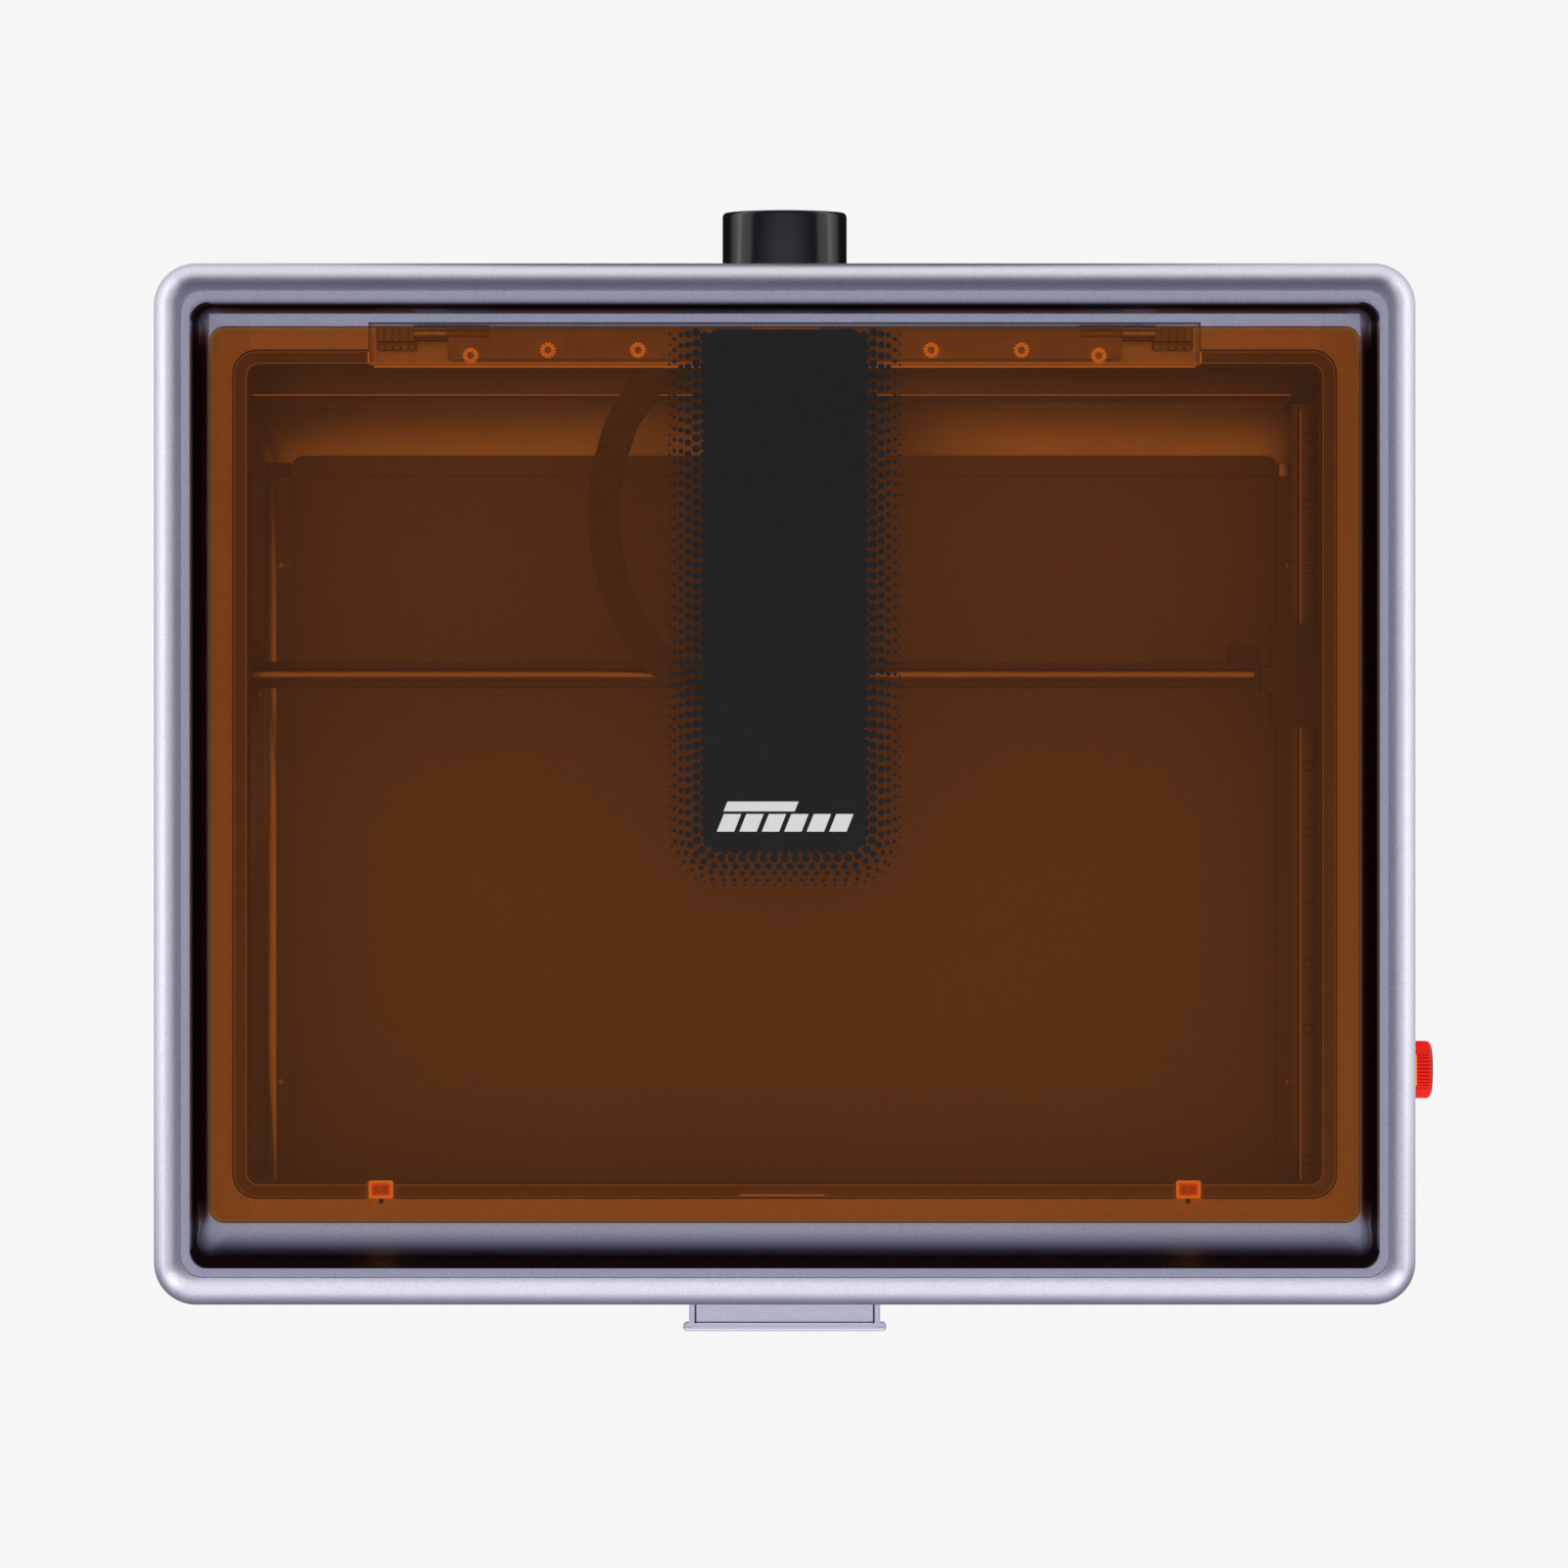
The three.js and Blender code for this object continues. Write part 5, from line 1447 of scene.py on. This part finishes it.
def belt_strip(build, path, thick, low, high, teeth_side, pitch=2.0, closed=True):
    """A belt along a path of (x, y) points, with small teeth on one side."""
    dense = spaced(path + (path[:1] if closed else []), pitch / 4, 0)
    count = len(dense)
    inner, outer = [], []
    for i, (x, y) in enumerate(dense):
        ax, ay = dense[i - 1] if (closed or i) else dense[0]
        bx, by = dense[(i + 1) % count] if (closed or i < count - 1) else dense[-1]
        length = math.hypot(bx - ax, by - ay) or 1
        nx, ny = -(by - ay) / length, (bx - ax) / length
        depth = thick / 2 if i % 4 < 2 else thick / 2 - 0.55
        inner.append((x + nx * teeth_side * depth, y + ny * teeth_side * depth))
        outer.append((x - nx * teeth_side * thick / 2, y - ny * teeth_side * thick / 2))
    verts = []
    for loop, z in ((outer, low), (outer, high), (inner, high), (inner, low)):
        verts += [(x, y, z) for x, y in loop]
    faces = []
    for ring in range(4):
        a, b = ring * count, ((ring + 1) % 4) * count
        for i in range(count if closed else count - 1):
            j = (i + 1) % count
            faces.append((a + i, a + j, b + j, b + i))
    if not closed:
        faces.append((0, count, 2 * count, 3 * count))
        faces.append((count - 1, 4 * count - 1, 3 * count - 1, 2 * count - 1))
    build.add(verts, faces)


def build_belts():
    for node in ("belt_left", "belt_right"):
        b = Box(node)
        radius = (b.x1 - b.x0) / 2 - 0.7
        rear, front = b.y1 - radius - 0.7, b.y0 + radius + 0.7
        path = [(b.x + radius * math.cos(a), rear + radius * math.sin(a)) for a in arc(0, 180, 20)]
        path += [(b.x + radius * math.cos(a), front + radius * math.sin(a)) for a in arc(180, 360, 20)]
        made = Build()
        belt_strip(made, path, 1.4, b.z0, b.z1, 1)
        made.piece(node + "_loop", BELT, "case", node, sharp=30)
    left, right = Box("idler_left_front"), Box("idler_right_front")
    for node, wheel_y, side in (
        ("cross_belt_front", left.y, -1), ("cross_belt_rear", Box("idler_left_rear").y, 1)
    ):
        b = Box(node)
        radius = 5.1
        path = [
            (left.x + radius * math.cos(a), wheel_y - side * radius * math.sin(a))
            for a in arc(132, 90, 9)
        ]
        path += [
            (right.x + radius * math.cos(a), wheel_y - side * radius * math.sin(a))
            for a in arc(90, 48, 9)
        ]
        made = Build()
        belt_strip(made, path, 1.4, b.z0, b.z1, side, closed=False)
        made.piece(node + "_run", BELT, "gantry", node, sharp=30)


build_belts()


def build_nozzle():
    b = Box("laser_nozzle")
    profile = [
        (1.6, 46), (4.6, 46), (5, 46.4), (7.4, 51.8), (11.6, 55.6), (12, 56.2), (12, 61.7), (11.7, 62),
        (5, 62), (1.6, 50)
    ]
    Build().turned(profile, (b.x, b.y, 0), "Z", 56, closed=True).piece(
        "nozzle_cone", STEEL, "laser", "laser_nozzle", sharp=40
    )


build_nozzle()


def build_knob():
    b = Box("focus_knob")
    steps, ribs = 96, 16
    start = b.x0

    def loop(radius, x, depth):
        points = []
        for i in range(steps):
            angle = 2 * math.pi * i / steps
            here = radius - depth * (0.5 - 0.5 * math.cos(ribs * angle))
            points.append((x, b.y + here * math.cos(angle), b.z + here * math.sin(angle)))
        return points

    profile = [
        (3.5, start, 0), (3.5, start + 2, 0), (6.4, start + 2, 0.3), (6.9, start + 2.5, 0.7),
        (6.9, start + 9.2, 0.7),
        (6.4, start + 9.8, 0.3), (4.8, start + 10, 0), (4.4, start + 9.4, 0), (0.5, start + 9.4, 0),
    ]
    Build().loft([loop(*row) for row in profile]).piece(
        "knob_grip", RED, "lock_knob", "focus_knob", sharp=45
    )


build_knob()

# ------------------------------------------------------------------ cable chain

CHAIN_LINKS = 11
CHAIN_SPLIT = 6
CHAIN_PITCH = 18.7


def chain_pivots():
    """The chain's pivots: each link turns a little more towards the two ends of its curve."""
    pivots = [(-34.0, 199.3)]
    middle = CHAIN_LINKS / 2
    heading = 204.0
    for link in range(CHAIN_LINKS):
        x, y = pivots[link]
        angle = math.radians(heading)
        pivots.append((x + CHAIN_PITCH * math.cos(angle), y + CHAIN_PITCH * math.sin(angle)))
        share = (link + 1 - middle) / (middle - 1)
        heading += 9.7 + 10 * share * share
    return pivots


def link_part(build, a, heading, x0, x1, half, low, high, round_start, round_end):
    """A plate along a link, from x0 to x1 in the link's own axes, with round or square ends."""
    points = []
    if round_end:
        points += [(x1 + half * math.cos(t), half * math.sin(t)) for t in arc(-90, 90, 15)]
    else:
        points += [(x1, -half), (x1, half)]
    if round_start:
        points += [(x0 + half * math.cos(t), half * math.sin(t)) for t in arc(90, 270, 15)]
    else:
        points += [(x0, half), (x0, -half)]
    c, s = math.cos(heading), math.sin(heading)
    outline = [(a[0] + c * x - s * y, a[1] + s * x + c * y) for x, y in points]
    build.prism(outline, low, high)


def chain_link(build, a, b, low, high):
    heading = math.atan2(b[1] - a[1], b[0] - a[0])
    length = math.hypot(b[0] - a[0], b[1] - a[1])
    half = 7.2
    for base, sign in ((high, -1), (low, 1)):
        def level(d0, d1):
            return tuple(sorted((base + sign * d0, base + sign * d1)))

        z = level(0.0, 1.5)
        link_part(build, a, heading, 0.0, length * 0.62, half, *z, True, False)
        z = level(1.6, 3.0)
        link_part(build, a, heading, length * 0.36, length, half - 0.3, *z, False, True)
    for side in (-1, 1):
        c, s = math.cos(heading), math.sin(heading)
        x0, x1 = length * 0.4, length * 0.64
        y0, y1 = sorted((side * (half - 1.8), side * half))
        corner = [(x0, y0), (x1, y0), (x1, y1), (x0, y1)]
        build.prism(
            [(a[0] + c * x - s * y, a[1] + s * x + c * y) for x, y in corner], low + 0.6, high - 0.6
        )
    build.turned(
        [(1.5, high - 0.2), (2.9, high - 0.2), (2.9, high + 0.15), (2.5, high + 0.3), (1.5, high + 0.3)],
        (a[0], a[1], 0), "Z", 24, closed=True
    )


def build_chain():
    pivots = chain_pivots()
    b = Box("chain_rear")
    low, high = b.z0, b.z1 - 0.3
    rear, front = Build(), Build()
    for i in range(CHAIN_LINKS):
        chain_link(rear if i < CHAIN_SPLIT else front, pivots[i], pivots[i + 1], low, high)
    made = rear.piece("chain_links_rear", CHAIN_PLASTIC, None, bevel=0.25, sharp=40)
    settled(made)
    at(*pivots[0], low)
    at(pivots[0][0], pivots[CHAIN_SPLIT][1], low)
    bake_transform(made)
    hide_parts("chain_rear")
    made = front.piece("chain_links_front", CHAIN_PLASTIC, None, bevel=0.25, sharp=40)
    settled(made)
    at(*pivots[CHAIN_SPLIT], low)
    at(pivots[-1][0], pivots[CHAIN_SPLIT][1], low)
    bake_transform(made)
    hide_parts("chain_front")


build_chain()

# ------------------------------------------------------------------ studio


CARD = (1.0, 0.985, 0.94)


def glow(name, size_x, size_y, place, target, radiance, colour=(1, 1, 1)):
    """A soft card of even brightness, unseen by the camera itself."""
    data = bpy.data.lights.new(name, "AREA")
    data.shape = "RECTANGLE"
    data.size, data.size_y = size_x, size_y
    data.energy = radiance * math.pi * size_x * size_y
    data.color = colour
    made = bpy.data.objects.new(name, data)
    made.location = place
    direction = Vector(target) - Vector(place)
    made.rotation_mode = "QUATERNION"
    made.rotation_quaternion = direction.to_track_quat("-Z", "Y")
    made.visible_camera = False
    scene.collection.objects.link(made)
    return made


def build_floor():
    mesh = bpy.data.meshes.new("floor")
    reach = 12.0
    mesh.from_pydata(
        [(-reach, -reach, 0), (reach, -reach, 0), (reach, reach, 0), (-reach, reach, 0)], [],
        [(0, 1, 2, 3)]
    )
    made = bpy.data.objects.new("floor", mesh)
    scene.collection.objects.link(made)
    nodes = Nodes("pale_floor")
    place = nodes.add("ShaderNodeSeparateXYZ", {"Vector": nodes.place})

    calc, ramp = nodes.calc, nodes.ramp

    def outside(axis, centre, half):
        away = calc("ABSOLUTE", calc("SUBTRACT", place.outputs[axis], centre))
        return calc("MAXIMUM", calc("SUBTRACT", away, half), 0.0)

    out_x = outside(0, CENTRE.x, HALF_X * MM)
    out_y = outside(1, CENTRE.y, HALF_Y * MM)
    away = calc("SQRT", calc("ADD", calc("POWER", out_x, 2.0), calc("POWER", out_y, 2.0)))

    # the floor's light, seen in reflections but not by the camera, carries painted shadow: darker near the
    # machine, dimmer in front of it and round the duct behind it
    near = ramp(away, 0.0, 0.4, 0.42, 0.92)
    edge = CENTRE.y - HALF_Y * MM
    behind = ramp(place.outputs[1], edge - 0.1, edge + 0.1, 0.0, 1.0)
    front = calc(
        "ADD", behind, calc("MULTIPLY", calc("SUBTRACT", 1.0, behind), ramp(away, 0.1, 0.9, 0.24, 0.6))
    )
    duct_x = calc("POWER", calc("SUBTRACT", place.outputs[0], CENTRE.x), 2.0)
    duct_y = calc("POWER", calc("SUBTRACT", place.outputs[1], CENTRE.y + HALF_Y * MM + 0.03), 2.0)
    duct_shadow = ramp(calc("SQRT", calc("ADD", duct_x, duct_y)), 0.15, 0.28, 0.04, 1.0)
    front = calc("MULTIPLY", front, duct_shadow)
    seen = nodes.add("ShaderNodeLightPath")
    level = nodes.add("ShaderNodeMix", {"Factor": seen.outputs["Is Camera Ray"]}, data_type="FLOAT")
    nodes.plug(level, 2, calc("MULTIPLY", near, front))
    level.inputs[3].default_value = linear(246, 246, 246)[0]
    # the floor in front looks a little violet to everything but the camera
    violet = nodes.add(
        "ShaderNodeMix", {"Factor": calc("MAXIMUM", behind, seen.outputs["Is Camera Ray"])},
        data_type="RGBA"
    )
    violet.inputs[6].default_value = (0.92, 0.91, 1.12, 1)
    violet.inputs[7].default_value = (1, 1, 1, 1)
    emission = nodes.add("ShaderNodeEmission", {"Color": violet.outputs[2], "Strength": level.outputs[0]})
    mesh.materials.append(nodes.shown(emission))


def build_sky():
    world = bpy.data.worlds.new("studio")
    scene.world = world
    world.use_nodes = True
    tree = world.node_tree
    tree.nodes.clear()
    out = tree.nodes.new("ShaderNodeOutputWorld")
    background = tree.nodes.new("ShaderNodeBackground")
    place = tree.nodes.new("ShaderNodeTexCoord")
    axes = tree.nodes.new("ShaderNodeSeparateXYZ")
    height = tree.nodes.new("ShaderNodeMath")
    height.operation = "POWER"
    height.inputs[1].default_value = 3.0
    above = tree.nodes.new("ShaderNodeMath")
    above.operation = "MAXIMUM"
    above.inputs[1].default_value = 0.0
    tree.links.new(place.outputs["Generated"], axes.inputs[0])
    tree.links.new(axes.outputs["Z"], above.inputs[0])
    tree.links.new(above.outputs[0], height.inputs[0])
    mix = tree.nodes.new("ShaderNodeMix")
    mix.data_type = "RGBA"
    mix.inputs[6].default_value = (0.012, 0.012, 0.045, 1)
    mix.inputs[7].default_value = (0.415, 0.42, 0.505, 1)
    tree.links.new(height.outputs[0], mix.inputs["Factor"])
    tree.links.new(mix.outputs[2], background.inputs["Color"])
    tree.links.new(background.outputs[0], out.inputs["Surface"])


def build_studio():
    build_floor()
    build_sky()
    x, y = CENTRE
    side = HALF_X * MM + 0.60
    for sign, name in ((-1, "left_card"), (1, "right_card")):
        glow(name, 1.9, 0.5, (x + sign * side, y, 0.25), (x, y, 0.25), 0.6, CARD)
    front = HALF_Y * MM + 0.25
    glow("front_card", 1.6, 0.28, (x, y - front, 0.32), (x, y, 0.32), 0.95, CARD)
    rear = HALF_Y * MM + 0.6
    glow("rear_card", 1.9, 0.17, (x, y + rear, 0.235), (x, y, 0.235), 0.45, CARD)


def build_camera_view():
    data = bpy.data.cameras.new("view")
    made = bpy.data.objects.new("view", data)
    scene.collection.objects.link(made)
    distance = 4.107
    data.sensor_width = 36.0
    data.lens = 36.0 * distance / 0.7032
    data.clip_end = 50
    made.location = (CENTRE.x - 0.0003, CENTRE.y, 0.193 + distance)
    scene.camera = made


build_studio()
build_camera_view()
